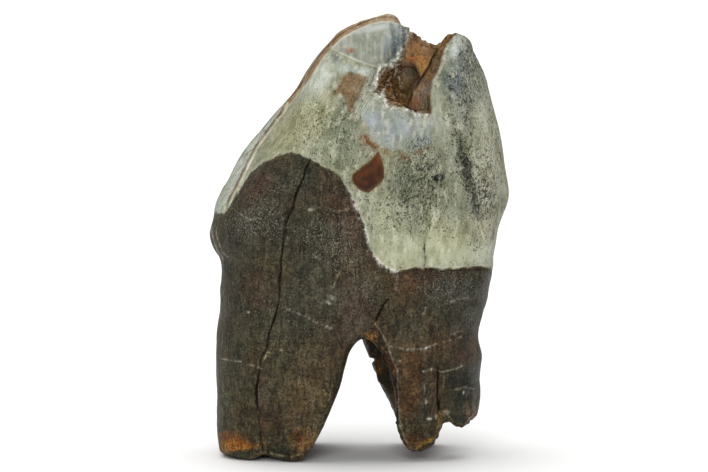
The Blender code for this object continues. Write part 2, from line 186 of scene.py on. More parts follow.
def study_skin():
    """Reads where the skin's points are, which way they face, where the view shows them and their stain."""
    skin.points = read_points(tooth.data.vertices, "co", 3) / MM
    skin.outward = read_points(tooth.data.vertices, "normal", 3)
    skin.stain = read_points(tooth.data.attributes["stain"].data, "color", 4)
    skin.spots = front_view(skin.points)
    skin.facing = ease(skin.outward @ to_camera, 0.0, 0.25)
    skin.facing *= ease(-skin.points[:, 1], -FRONT_DEPTH, 4 - FRONT_DEPTH)


def keep_skin():
    """Writes the skin's points and stain back to its mesh."""
    tooth.data.vertices.foreach_set("co", (skin.points * MM).astype(np.float32).ravel())
    tooth.data.attributes["stain"].data.foreach_set("color", skin.stain.astype(np.float32).ravel())
    tooth.data.update()
    study_skin()


def keep_layer(name, values):
    """Keeps one number for each point of the skin, for the finish to read."""
    layer = tooth.data.attributes.get(name) or tooth.data.attributes.new(name, "FLOAT", "POINT")
    layer.data.foreach_set("value", np.asarray(values).astype(np.float32))


def layer_of(name):
    """The numbers that a layer of the skin keeps, one for each point."""
    return read_points(tooth.data.attributes[name].data, "value", 1)[:, 0]


def split_faces(wanted, step=FINE_STEP):
    """Halves the edges of the faces whose points are all wanted, where they are still longer than a step."""
    bpy.ops.object.mode_set(mode="EDIT")
    bpy.ops.mesh.select_mode(type="FACE")
    bpy.ops.mesh.select_all(action="DESELECT")
    edited = bmesh.from_edit_mesh(tooth.data)
    for face in edited.faces:
        side = face.calc_perimeter() / len(face.verts) / MM
        if side > SPLIT_ABOVE * step and all(wanted[point.index] for point in face.verts):
            face.select_set(True)
    bmesh.update_edit_mesh(tooth.data)
    bpy.ops.mesh.subdivide(number_cuts=1, smoothness=0.0)
    bpy.ops.object.mode_set(mode="OBJECT")
    study_skin()


def raise_skin(height):
    """Moves the skin's points out by a height in millimetres."""
    skin.points += skin.outward * height[:, None]


def away_from(path, spots=None):
    """Distance of the skin from a path of the front view, less its half width where its points give one."""
    spots = skin.spots if spots is None else spots
    nearest = np.full(len(spots), np.inf)
    for start, end in zip(path, path[1:]):
        start, run = np.array(start), np.array(end) - np.array(start)
        offsets = spots - start[:2]
        share = np.clip(offsets @ run[:2] / (run[:2] @ run[:2]), 0.0, 1.0)
        away = np.linalg.norm(offsets - share[:, None] * run[:2], axis=1)
        if len(start) == 3:
            away -= start[2] + share * run[2]
        nearest = np.minimum(nearest, away)
    return nearest


def away_from_all(paths, spots=None):
    """Distance of the skin from the nearest of several paths."""
    return np.min([away_from(path, spots) for path in paths], axis=0)


def depth_inside(outline):
    """How far the skin lies inside a closed outline of the front view, negative outside it."""
    closed = (*outline, outline[0])
    crossings = np.zeros(len(skin.spots), int)
    for (ax, ay), (bx, by) in zip(closed, closed[1:]):
        between = (skin.spots[:, 1] > min(ay, by)) & (skin.spots[:, 1] <= max(ay, by))
        if ay != by:
            crossings += between & (skin.spots[:, 0] < ax + (skin.spots[:, 1] - ay) * (bx - ax) / (by - ay))
    return np.where(crossings % 2 == 1, 1.0, -1.0) * away_from(closed)


def grain(size, seed, stretch=(1, 1, 1)):
    """Smooth random values from -1 to 1 on the skin, which change over a size in millimetres."""
    table = np.random.default_rng(seed).uniform(-1, 1, GRAIN_VALUES)
    scaled = skin.points / (np.array(stretch) * size)
    cell = np.floor(scaled).astype(int)
    share = scaled - cell
    share = share * share * (3 - 2 * share)
    total = np.zeros(len(scaled))
    for corner in np.ndindex(2, 2, 2):
        pick = (cell + corner) @ np.array(GRAIN_PICKS) % GRAIN_VALUES
        total += table[pick] * np.prod(np.where(corner, share, 1 - share), axis=1)
    return total


def tint(share, colour):
    """Stains the skin with a colour, where share is 1 fully."""
    skin.stain[:, :3] += (np.array(linear(colour)) - skin.stain[:, :3]) * np.asarray(share)[:, None]


def radii_away(spots, place, radii, turn):
    """Distance of spots from the middle of an oval, measured in its own radii."""
    offsets = spots - np.array(place)
    turn = math.radians(turn)
    across = (offsets[:, 0] * math.cos(turn) + offsets[:, 1] * math.sin(turn)) / radii[0]
    upward = (offsets[:, 1] * math.cos(turn) - offsets[:, 0] * math.sin(turn)) / radii[1]
    return np.hypot(across, upward)


def oval(place, radii, turn=0.0):
    """A soft oval mark of the front view: 1 at its middle, half at its radii."""
    return ease(-radii_away(skin.spots, place, radii, turn), -1.7, -0.3) * skin.facing


def line(path, half_width=0.0, softness=0.1):
    """A mark along a path of the front view: 1 on the line, easing out past its half width."""
    return ease(half_width - away_from(path), -softness, softness) * skin.facing


def patch(outline, softness=0.12):
    """A mark that fills a closed outline of the front view."""
    return ease(depth_inside(outline), -softness, softness) * skin.facing


def stain_ovals(ovals, where):
    """Stains soft ovals, each given by its place, radii, turn, colour and strength."""
    for place, radii, turn, colour, strength in ovals:
        tint(oval(place, radii, turn) * where * strength, colour)


bpy.ops.object.select_all(action="DESELECT")
tooth = bpy.data.objects.new("fossil_tooth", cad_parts["tooth"].data.copy())
bpy.context.scene.collection.objects.link(tooth)
bpy.context.view_layer.objects.active = tooth
tooth.select_set(True)
bpy.ops.object.mode_set(mode="EDIT")
bpy.ops.mesh.select_all(action="SELECT")
bpy.ops.mesh.remove_doubles(threshold=0.001 * MM)
bpy.ops.object.mode_set(mode="OBJECT")
apply_modifier("SUBSURF", levels=1, render_levels=1)
apply_modifier("REMESH", mode="VOXEL", voxel_size=SKIN_STEP * MM)
apply_modifier("SMOOTH", factor=0.5, iterations=ROUNDING)

tooth.data.attributes.new("stain", "FLOAT_COLOR", "POINT")
skin = SimpleNamespace()
study_skin()
split_faces((skin.outward @ to_camera > SEEN_FROM_FRONT) & (skin.points[:, 1] < FRONT_DEPTH), SKIN_STEP / 2)
apply_modifier("SMOOTH", factor=0.5, iterations=1)
study_skin()
for place, radii, turn, out in OUTLINE_SHIFTS:
    raise_skin(out * ease(-radii_away(skin.spots, place, radii, turn), -2.0, 0.0))
keep_skin()

# The neck
# The line where the enamel of the crown ends and the cement of the roots begins. In front it climbs over
# the dome of the tongue side root and drops along a broken edge, where the enamel stands proud. Behind it
# is nearly level and rises to the tongue side.
NECK_IN_FRONT = (
    (-29.9, 48.8), (-28.7, 49), (-26.9, 49.4), (-24.5, 53), (-21.3, 57.6), (-18.7, 59.6), (-16.5, 60.7),
    (-13.3, 61.5), (-10.1, 60.5), (-6.1, 58.3), (-4.1, 57.3), (-2.9, 55.3), (-1.3, 52.7), (0.2, 49),
    (1.7, 44.8), (2.2, 42), (3.9, 40.1), (5, 38.8), (6.7, 38), (7.8, 37.6), (9.7, 38.1), (11.5, 38.6),
    (13.7, 38.5), (16.7, 38.2), (20.1, 38.3), (23.4, 38.6), (25.4, 38.6), (28.5, 37.8),
)
# Compass angle seen from above (0 cheek side, 90 back, 180 tongue side) and height
NECK_BEHIND = (
    (-30, 38.4), (0, 38.0), (25, 36.6), (50, 39.2), (75, 41.8), (100, 40.2), (125, 42.4), (150, 46.0),
    (180, 48.4), (198, 52.0), (215, 55.0),
)
NECK_WOBBLE = 0.24
# How far the enamel stands out over the cement, and the groove under its edge on the right
PROUD = 0.32
NECK_GROOVE = 0.25
NECK_REACH = 0.5
CEMENT_BROWN = "#48422c"
ENAMEL_GREY = "#90927b"


def above_neck():
    """Distance of the skin from the neck line, positive on the crown and negative on the roots."""
    across, height = np.array(NECK_IN_FRONT).T
    side = np.where(skin.spots[:, 1] > np.interp(skin.spots[:, 0], across, height), 1.0, -1.0)
    in_front = side * away_from(NECK_IN_FRONT)
    compass = (np.degrees(np.arctan2(skin.points[:, 1], skin.points[:, 0])) + 90) % 360 - 90
    behind = skin.points[:, 2] - np.interp(compass, *np.array(NECK_BEHIND).T)
    share = ease(skin.points[:, 1], -10.0, 0.0)
    wobble = NECK_WOBBLE * grain(0.9, 11) + 0.5 * grain(4.0, 12) * share
    return in_front * (1 - share) + behind * share + wobble


split_faces(np.abs(above_neck()) < NECK_REACH)
crown = above_neck()
raise_skin(PROUD * ease(crown, -0.12, 0.2) * (0.3 + 0.7 * ease(skin.spots[:, 0], -6.0, 2.0))
           - NECK_GROOVE * near(crown, -0.28, 0.22) * ease(skin.spots[:, 0], 2.0, 8.0))
tint(np.ones(len(crown)), CEMENT_BROWN)
tint(ease(crown, -0.05, 0.05), ENAMEL_GREY)
keep_skin()

# The broken hollow
# Near the top a piece of enamel broke away and opened the brown inside of the tooth. It has a craggy dark
# wall on the left, a ledge under the notch, a round lump, and a smooth band on the right behind a crack.
HOLLOW = (
    (10.3, 85.6), (9.3, 84.1), (8.6, 81.8), (8, 79.7), (7.1, 79.1), (4.8, 78.3), (4.4, 77.5), (3.9, 75.7),
    (3.4, 74.2), (3.4, 73.1), (4.2, 73.1), (5, 73.7), (5.4, 72.6), (5.6, 71.4), (6.8, 71), (8.6, 70.5),
    (9.9, 70.1), (11.4, 69.4), (12.9, 69.3), (14.6, 69.1), (14.5, 71.1), (14.3, 73.4), (14.6, 75.7),
    (15.8, 77.7), (16.5, 79.5), (16.9, 81.8), (17.5, 83.2), (19.5, 85.2), (18.9, 87.8), (12.3, 87.8),
)
HOLLOW_CRACK = (
    (16.3, 82.6, 0.05), (14.8, 80.4, 0.1), (14.3, 78.9, 0.14), (13.4, 77.5, 0.16), (12.6, 76.2, 0.16),
    (11.7, 74.9, 0.14), (10.8, 74, 0.12), (10.5, 72.6, 0.16), (9.9, 71.3, 0.16), (10, 70.4, 0.1),
)
HOLLOW_BAND = (
    (16.5, 83.2), (14.8, 80.4), (14.3, 78.9), (13.4, 77.5), (12.6, 76.2), (11.7, 74.9), (10.8, 74),
    (10.5, 72.6), (9.9, 71.3), (10, 69.4), (14.8, 68.8), (15.2, 75.7), (16.2, 77.7), (17, 79.5),
    (17.4, 81.8), (19, 84.8), (18.0, 85.2),
)
HOLLOW_LEDGE = (
    (8.8, 83.4), (10.4, 87.0), (16.5, 87.0), (16.2, 83.0), (14.6, 80.6), (13.5, 79.8), (11.3, 79.9),
    (9.5, 80.3),
)
# Thin layers of enamel along the hollow's right edge
HOLLOW_EDGE = (
    (14.7, 71.0), (14.5, 73.4), (14.8, 75.7), (16.0, 77.7), (16.7, 79.5), (17.1, 81.8), (17.9, 83.4),
)
HOLLOW_SADDLE = (
    (10.9, 80.2), (14.6, 80.6), (14.1, 78.4), (12.9, 76.4), (12.1, 76.7), (11.6, 78.4), (10.7, 79.2),
)
LUMP_PLACE = (9.8, 76.0)
LUMP_RADIUS = 2.2
# How far along the view the hollow's parts lie, and how steeply its walls and its parts fall
LUMP_FOOT = -12.6
LUMP_RISE = 1.5
HOLLOW_FLOOR = -11.4
BAND_DEPTH = 2.4
LEDGE_PLACE = -12.6
SADDLE_PLACE = -13.2
HOLLOW_CRACK_DEPTH = 1.0
HOLLOW_CRACK_SHOULDER = 0.1
STEEP_WALL = 4.5
CRAGGY_WALL = 1.9
PART_SLOPE = 4
# A white mineral crust on the left edge
WHITE_CRUST = ((5.4, 77.9), (7.2, 78.9), (8.4, 80.2), (9.0, 82.2), (9.9, 84.4), (10.5, 85.8))
# How far the skyline over the hollow is broken down: place across, and depth
SKYLINE_NOTCH = (
    (11.4, 0.0), (12.4, 0.7), (14.2, 0.8), (15.1, 1.4), (15.9, 2.1), (16.6, 1.6), (17.2, 1.0), (18.4, 0.8),
    (19.2, 0.0),
)
# The worn facet over the hollow as a plane: a point of it, and how it falls back to the right and upwards
FACET_POINT = (-2.7, -17.33, 77.6)
FACET_FALL = (0.233, 0.717)
# Over this height the face beside the hollow lies no farther forward than the lip
LIP_HEIGHT = 80
LIP_PLACE = -15.2


def shape_hollow():
    """How far inside the hollow the skin is, and how far along the view the face and the hollow lie there."""
    jagged = ease(14.0 - skin.spots[:, 0], 0.0, 3.0)
    inside = depth_inside(HOLLOW) + jagged * (0.28 * grain(0.8, 51) + 0.2 * grain(0.4, 52))
    seen_across, seen_up = skin.spots.T
    across, along, up = skin.points.T
    face_terms = np.column_stack(
        [np.ones(len(across)), across, up, across ** 2, across * up, up ** 2, up ** 3]
    )
    samples = (inside < -1.6) & (inside > -6) & (up < 76.5) & (across < 16) & (skin.facing > 0.9)
    face = face_terms @ np.linalg.lstsq(face_terms[samples], along[samples], rcond=None)[0]
    facet = FACET_POINT[1] + FACET_FALL[0] * (across - FACET_POINT[0]) + FACET_FALL[1] * (up - FACET_POINT[2])
    around = np.where(across < 10.5, np.maximum(face, facet), face)
    around = np.where(up > LIP_HEIGHT, np.maximum(around, LIP_PLACE + 0.3 * (up - LIP_HEIGHT)), around)

    beyond_lump = np.hypot(seen_across - LUMP_PLACE[0], (seen_up - LUMP_PLACE[1]) * 0.9) - LUMP_RADIUS
    lump_top = LUMP_RISE * np.sqrt(np.clip(-beyond_lump / LUMP_RADIUS, 0, 1))
    band_side = np.clip(away_from(HOLLOW_CRACK) / 4.0, 0, 1)
    shapes = (
        np.full(len(across), HOLLOW_FLOOR),
        np.where(beyond_lump < 0, LUMP_FOOT - lump_top, LUMP_FOOT + PART_SLOPE * beyond_lump),
        around + BAND_DEPTH + 1.2 * band_side ** 2 - PART_SLOPE * np.minimum(depth_inside(HOLLOW_BAND), 0),
        LEDGE_PLACE + 0.75 * (seen_up - 79.5) + 0.35 * np.sin(1.9 * seen_across)
        - PART_SLOPE * np.minimum(depth_inside(HOLLOW_LEDGE), 0),
        SADDLE_PLACE + 0.4 * (13.0 - seen_across) - PART_SLOPE * np.minimum(depth_inside(HOLLOW_SADDLE), 0),
    )
    left = ease(10.0 - seen_across, 0.0, 2.0) * ease(beyond_lump, -0.3, 0.3)
    rough_left = left * (0.7 * grain(1.0, 41) + 0.5 * grain(0.45, 42))
    deep = np.min(shapes, axis=0) + rough_left + 0.12 * grain(0.6, 43)
    beyond_crack = np.maximum(away_from(HOLLOW_CRACK), 0)
    deep += HOLLOW_CRACK_DEPTH * near(beyond_crack, 0, HOLLOW_CRACK_SHOULDER)
    wall_slope = STEEP_WALL - (STEEP_WALL - CRAGGY_WALL) * ease(9.0 - seen_across, 0.0, 2.5)
    crags = 0.5 * grain(0.7, 46) * ease(inside, 0.2, 1.2) * ease(9.0 - seen_across, 0, 2)
    rim = around + wall_slope * np.maximum(inside + 0.12 * grain(0.5, 44), 0) + crags
    return inside, around, np.minimum(deep, rim)


split_faces((depth_inside(HOLLOW) > -1.0) & (skin.points[:, 1] < -6) & (skin.outward @ to_camera > -0.35))
skyline = ease(skin.points[:, 2], 82.0, 84.5) * ease(9.5 - skin.points[:, 1], 0, 4)
skyline *= ease(skin.points[:, 0], 7, 10) * ease(-skin.points[:, 0], -19, -18)
raise_skin(skyline * (0.8 * grain(1.2, 54) + 0.5 * grain(0.6, 55)))
notched = ease(skin.points[:, 2], 80.5, 84.0) * ease(-skin.points[:, 1], -6, 0)
skin.points[:, 2] -= np.interp(skin.spots[:, 0], *np.array(SKYLINE_NOTCH).T) * notched
keep_skin()
inside, around, carved = shape_hollow()
margin = ease(inside, -1.5, -0.4) * ease(82 - skin.spots[:, 1], 0, 2) * ease(14 - skin.spots[:, 0], 0, 2)
reached = ease(-skin.points[:, 1], 6.5, 7.5) * ease(skin.outward @ to_camera, -0.35, -0.1)
moved = np.where(inside > 0, carved, around) - skin.points[:, 1]
moved = moved * np.where(inside > 0, 1.0, margin) * reached
skin.points -= to_camera * (moved / math.cos(VIEW_SLOPE))[:, None]

in_hollow = ease(inside + 0.15 * grain(0.4, 45), -0.1, 0.15) * reached
craggy = ease(9.5 - skin.spots[:, 0], 0.0, 2.0) * in_hollow
tint(in_hollow, "#7a6044")
HOLLOW_STAINS_AND_SHADE = (
    ((5.6, 75.6), (2.0, 3.2), -20, "#6e4e30", 0.9),
    ((7.4, 72.4), (2.6, 1.2), -15, "#8a6434", 0.9),
    ((10.6, 83.6), (1.2, 1.4), 0, "#6f5236", 0.8),
    ((12.4, 81.8), (2.4, 1.8), 0, "#93704a", 0.9),
    ((11.8, 80.2), (2.2, 0.5), 0, "#b0693a", 0.7),
    ((13.2, 78.6), (1.4, 1.8), 30, "#bd9152", 0.9),
    ((9.8, 76.2), (2.1, 2.2), 0, "#5a4a38", 0.9),
    ((10.4, 78.2), (1.8, 0.5), -15, "#3a3626", 0.8),
    ((8.6, 76.4), (0.5, 1.6), 10, "#4a3a28", 0.5),
    ((9.6, 73.4), (1.8, 0.8), 0, "#7d7550", 0.8),
    ((8.0, 71.4), (1.2, 0.6), -20, "#a97c40", 0.8),
    ((13.0, 72.6), (1.4, 3.2), -12, "#8f8270", 0.9),
    ((11.4, 71.0), (0.9, 1.4), 0, "#8a6044", 0.8),
    # Painted shade: the dark strip along the right edge of the smooth band, where it falls away
    ((14.2, 72.5), (0.5, 3.2), 0, "#575045", 0.8),
    ((14.9, 79.4), (1.0, 3.0), -25, "#857056", 0.9),
    ((17.3, 83.8), (0.6, 2.4), -35, "#a3834c", 0.9),
    ((18.0, 84.2), (0.4, 2.4), -35, "#7c4f2c", 0.9),
    ((11.0, 84.8), (1.0, 0.8), -30, "#5c4632", 0.7),
)
stain_ovals(HOLLOW_STAINS_AND_SHADE, in_hollow)
pale_bits = oval((13.6, 83.0), (2.4, 0.7), -14) * ease(grain(0.5, 57, (2, 1, 1)), -0.1, 0.2)
tint(pale_bits * in_hollow * 0.9, "#bdb9ac")
tint(craggy * ease(grain(0.5, 46), 0.05, 0.4) * 0.7, "#8f6434")
tint(craggy * ease(grain(0.4, 47), 0.0, 0.4) * 0.85, "#241810")
tint(in_hollow * ease(grain(0.7, 48), 0.1, 0.6) * 0.4, "#b58a4c")
# Painted shade down the crack beside the smooth band
tint(line(HOLLOW_CRACK, 0.0) * in_hollow * 0.9, "#22170f")
lump = ease(-radii_away(skin.spots, LUMP_PLACE, (2.2, 2.3), 0), -1.06, -0.9) * in_hollow
tint(lump * 0.9, "#5d4c38")
tint(lump * oval((9.0, 75.0), (1.0, 1.2)) * 0.7, "#77623f")
tint(lump * oval((10.6, 77.4), (1.3, 0.7), -30) * 0.8, "#3c3a2b")
lump_edge = near(radii_away(skin.spots, LUMP_PLACE, (2.3, 2.4), 0), 1.04, 0.08)
tint(lump_edge * in_hollow * ease(skin.spots[:, 1] + skin.spots[:, 0], 82.0, 86.0) * 0.8, "#2a2117")
tint(lump_edge * in_hollow * ease(-skin.spots[:, 1] - skin.spots[:, 0], -85.0, -83.0) * 0.7, "#a08a58")
tint(craggy * ease(grain(0.35, 50), 0.35, 0.6) * 0.8, "#d8d2be")
edge_crumbs = near(inside, -0.3, 0.45) * skin.facing * ease(84 - skin.spots[:, 1], 0, 3)
edge_crumbs *= 1 - 0.8 * ease(skin.spots[:, 0], 13.5, 14.5)
crust = line(WHITE_CRUST, 0.25, 0.4)
keep_layer("crust", np.maximum(edge_crumbs * 0.7, crust))
keep_layer("hollow", in_hollow)
keep_skin()

# The enamel crown
# Enamel is the hard pale cap. Here it has gone grey green and cream, and dark mineral specks crowd in it
# beside the furrow and under the hollow. The skin round the hollow is bluer.
CROWN_STAINS = (
    ((-9.5, 68.0), (3.4, 6.0), -25, "#adac8a", 0.8),
    ((-14.6, 65.6), (2.6, 5.0), -35, "#aaa883", 0.8),
    ((-3.0, 65.0), (3.4, 6.4), -15, "#70775f", 0.8),
    ((-7.3, 61.8), (3.6, 2.2), 0, "#a3a890", 0.7),
    ((1.6, 52.0), (1.6, 5.0), 12, "#a9ac95", 0.6),
    ((6.5, 47.0), (3.4, 7.0), 10, "#a9ab8e", 0.7),
    ((12.0, 54.5), (5.2, 7.0), 0, "#858872", 0.85),
    ((9.0, 56.5), (2.4, 3.0), 0, "#666b5a", 0.5),
    ((12.6, 41.6), (14.0, 3.4), 0, "#b3b69c", 0.95),
    ((17.0, 46.0), (3.6, 4.0), 0, "#b0b08c", 0.6),
    ((25.0, 41.5), (1.5, 3.0), 0, "#bcc0b2", 0.7),
    ((25.8, 63.5), (3.2, 9.0), 0, "#babaa6", 0.95),
    ((22.6, 70.0), (3.2, 5.0), 0, "#8f9188", 0.8),
    ((22.0, 80.0), (3.4, 4.0), 0, "#6f7674", 0.8),
    ((20.4, 83.4), (1.2, 1.4), 0, "#b8bfbf", 0.8),
    ((24.6, 74.0), (1.6, 7.0), 12, "#a6a899", 0.7),
    ((19.2, 82.4), (0.8, 2.4), -10, "#c4cac6", 0.9),
    ((19.0, 75.6), (2.0, 3.2), 0, "#778184", 0.9),
    ((17.2, 76.2), (0.4, 1.8), 10, "#4c5458", 0.8),
    ((25.4, 54.6), (3.2, 3.4), 0, "#b4b2a2", 0.9),
    ((23.4, 50.2), (1.6, 1.2), -20, "#7a7f82", 0.6),
    ((24.6, 47.6), (2.4, 3.0), 0, "#bdb8a8", 0.8),
    ((19.0, 50.5), (2.8, 3.4), 0, "#8b8f7c", 0.7),
    ((18.4, 62.0), (1.2, 8.0), 4, "#a2a695", 0.7),
    ((16.0, 70.0), (0.9, 6.0), 4, "#b2b5aa", 0.8),
    ((14.6, 59.0), (2.6, 3.4), 0, "#80836f", 0.7),
    ((24.4, 68.0), (2.0, 4.0), 0, "#bcbda9", 0.8),
)
# Where dark specks crowd: place, radii, turn and how much
SPECKLED = (
    ((11.4, 53.5), (5.4, 7.0), 0, 0.5), ((21.4, 58.0), (1.3, 6.0), 12, 1.2),
    ((25.2, 62.0), (3.4, 9.0), 0, 0.4), ((24.4, 68.0), (2.0, 4.0), 0, -0.3),
    ((14.0, 58.0), (3.0, 4.0), 0, 0.3), ((22.5, 76.0), (4.0, 8.0), 0, 0.5),
    ((-10.0, 67.0), (6.0, 6.0), 0, 0.2), ((-2.0, 66.0), (3.0, 6.0), 0, 0.2),
    ((12.0, 63.6), (3.0, 1.2), 0, 0.5), ((25.4, 52.0), (2.6, 4.0), 0, 0.6),
    ((23.6, 43.0), (1.2, 1.6), 0, 0.5), ((10.0, 41.0), (14.0, 3.4), 0, -0.5),
    ((-5.6, 77.0), (5.0, 5.0), 0, -0.5), ((2.0, 83.0), (7.0, 5.0), 0, -0.5),
    ((6.0, 67.0), (7.0, 4.0), 0, -0.5), ((18.5, 81.0), (2.0, 4.0), 0, -0.3),
    ((16.0, 70.0), (1.4, 6.0), 0, -0.4),
)
BLUE_SKIN = (
    (0.6, 69.6), (1.8, 72), (3.9, 72.9), (5.3, 71.6), (5.5, 70.6), (8.7, 70.2), (11.4, 69.2), (14.7, 69.2),
    (15.7, 67.6), (14.5, 65.5), (14.9, 63.5), (11.8, 62.4), (8.7, 61.4), (5.7, 62.4), (4.3, 63.3),
    (1.8, 65.9), (-0.2, 68.4),
)
BLUE_STAINS = (
    ((3.4, 68.0), (1.7, 1.5), 0, "#a0a8b0", 0.9),
    ((7.8, 65.8), (2.2, 1.6), 0, "#a0a9b0", 0.9),
    ((12.6, 67.6), (2.6, 0.8), 0, "#b4b6ac", 0.7),
    ((3.0, 71.2), (1.4, 0.9), 0, "#b0b3a6", 0.8),
    ((12.4, 64.2), (1.8, 0.9), 10, "#7c8888", 0.7),
    ((9.6, 62.8), (1.8, 0.8), 0, "#8c9488", 0.7),
    ((5.4, 63.8), (1.4, 0.8), -30, "#9aa39c", 0.7),
)
FURROW_SPECKS = (
    (18.7, 80, 0.2), (18.3, 74, 0.3), (18.9, 69, 0.2), (20.3, 63.5, 0.3), (21.2, 60, 0.8),
    (21.9, 56.6, 0.6), (22.7, 53.4, 0.3), (23.4, 50.6, 0.5), (24.3, 46.4, 0.1),
)
OLIVE_LINE = (
    (-5.5, 72.9), (-5.9, 71.6), (-7, 70), (-8.2, 68.4), (-9.4, 65.9), (-10.4, 63.3), (-10.6, 61.8),
)
DARK_PIT = ((16.1, 56.5), (1.2, 0.65), 15)

split_faces(radii_away(skin.spots, *DARK_PIT) < 2.2)
on_enamel = ease(above_neck(), -0.05, 0.05) * (1 - layer_of("hollow"))
stain_ovals(CROWN_STAINS, on_enamel)
blue = patch(BLUE_SKIN, 0.8) * on_enamel
tint(blue * 0.9, "#959b96")
stain_ovals(BLUE_STAINS, blue)
tint(blue * ease(grain(1.0, 33), 0.1, 0.6) * 0.35, "#7f878a")
tint(line(OLIVE_LINE, 0.05, 0.2) * on_enamel * 0.6, "#77704a")
tint(line(HOLLOW_EDGE, 0.02, 0.12) * 0.9, "#8f6a3c")
beside_edge = tuple((across + 0.35, up) for across, up in HOLLOW_EDGE)
tint(line(beside_edge, 0.03, 0.15) * 0.9, "#d4d6cc")
beside_edge = tuple((across + 0.75, up) for across, up in HOLLOW_EDGE)
tint(line(beside_edge, 0.03, 0.15) * ease(grain(0.5, 56, (1, 1, 2)), -0.2, 0.2) * 0.8, "#4d5557")
furrow_specks = line(FURROW_SPECKS, 0.2, 0.5) * on_enamel
tint(furrow_specks * ease(grain(0.45, 34, (1, 1, 1.6)), -0.1, 0.2) * 0.8, "#3e403a")
dark_pit = ease(-radii_away(skin.spots, *DARK_PIT) - 0.3 * grain(0.7, 36), -1.3, -0.7) * skin.facing
tint(dark_pit, "#1c2223")
behind_view = on_enamel * (1 - skin.facing)
tint(behind_view * ease(grain(8.0, 37, (1, 1, 1.6)), 0.0, 0.6) * 0.5, "#b6b59a")
tint(behind_view * ease(grain(6.0, 38, (1, 1, 1.6)), 0.0, 0.6) * 0.5, "#757b73")
specks = 0.5 + sum(oval(*mark[:3]) * mark[3] for mark in SPECKLED)
keep_layer("specks", specks)
raise_skin(on_enamel * (0.05 * grain(2.4, 31) + 0.03 * grain(1.0, 32, (1, 1, 5))) - 0.2 * dark_pit)
keep_layer("enamel", on_enamel)
keep_layer("gloss", 0.25 + 0.1 * blue)
keep_skin()

# The worn edge
# The crown's upper left edge is cut by wear, so the layers of the tooth show there as thin lines: tan
# cement on enamel with a brown seam between them. Beside it lies a flat facet, polished by the
# neighbouring tooth.
RIM_SEAM = (
    (-14.7, 71.2), (-12.5, 73.8), (-10.8, 75.9), (-9.6, 78), (-7.8, 80.8), (-5.5, 83.3), (-3.9, 84.9),
    (-1.5, 86.3), (0.6, 87.3), (2.6, 88.1), (4.7, 88.5), (6.7, 88.5), (7.9, 88),
)
LOWER_SEAM = (
    (-14.7, 71.2), (-15.7, 69.4), (-17.5, 67), (-19.5, 64.4), (-20.9, 62.4), (-22.3, 59.6), (-23.7, 56.6),
    (-25.7, 52.8), (-26.7, 49.4),
)
WHITE_SEAM = ((-20.5, 61.6), (-21.7, 59.4), (-23.1, 56.4), (-24.3, 53.6))
FACET = (
    (-4.5, 81.8), (-1, 80.2), (1.4, 79.2), (3.6, 78.6), (5.5, 78.7), (6.7, 79), (7.9, 80.4), (9, 82.2),
    (9.8, 84.7), (10.2, 85.7), (8.1, 87.6), (5.3, 88.2), (2.3, 87.6), (-1.3, 86), (-3.5, 84.6),
    (-5.3, 82.8),
)
FACET_STAINS = (
    ((2.6, 83.0), (5.0, 3.6), -20, "#85897a", 0.8),
    ((7.7, 83.2), (1.5, 3.2), -18, "#536068", 1.0),
    ((5.6, 84.0), (0.7, 2.4), -14, "#8a949a", 0.7),
    ((8.3, 86.6), (1.6, 0.8), 0, "#8b9499", 0.8),
    ((3.4, 86.4), (6.0, 0.6), 10, "#b0b5b2", 0.9),
    ((-3.0, 83.0), (1.8, 1.2), 30, "#9c9d96", 0.7),
    ((3.0, 81.8), (0.3, 2.0), 0, "#7c837f", 0.6),
    ((4.6, 82.4), (0.3, 2.4), 0, "#868c88", 0.6),
    ((1.2, 81.4), (0.3, 1.6), 0, "#868c84", 0.5),
)
BESIDE_FACET_STAINS = (
    ((-7.8, 77.0), (2.2, 4.6), -35, "#c3c9bf", 0.95),
    ((-4.6, 80.4), (1.2, 0.8), -20, "#7c8584", 0.8),
    ((0.4, 77.9), (3.6, 0.8), -8, "#a6aea9", 0.8),
    ((-3.4, 78.6), (2.4, 0.9), -25, "#a9b0ab", 0.7),
    ((3.5, 77.7), (0.3, 0.8), 0, "#4f5a60", 0.8),
    ((5.8, 78.2), (1.8, 0.6), 0, "#bfc2b6", 0.8),
    ((-9.6, 72.8), (3.0, 1.4), -20, "#a7ab95", 0.7),
)
FACET_EDGE = ((-5.4, 82.6), (-4.5, 81.8), (-1, 80.2), (1.4, 79.2), (3.6, 78.7), (5.5, 78.6), (6.7, 79))
# The seams between layers of enamel, left of the hollow
LAYER_SEAMS = (
    ((3.5, 77.8), (2.5, 75.2), (1.3, 72.6), (0.1, 70.4), (-0.9, 68.2)),
    ((2.7, 78), (1.5, 75.2), (0.5, 73), (-0.5, 70.8)),
    ((4.5, 72.8), (3.1, 72.6), (1.9, 71.6), (0.9, 70), (-0.1, 68.4)),
)
WORN_LINES = (RIM_SEAM, LOWER_SEAM, FACET_EDGE, *LAYER_SEAMS)
# How far the tan band stands out, and how deep the grooves along the seams are
TAN_BAND_RISE = 0.12
RIM_GROOVE = 0.22
LOWER_GROOVE = 0.2
LAYER_GROOVE = 0.08
FACET_EDGE_RISE = 0.1

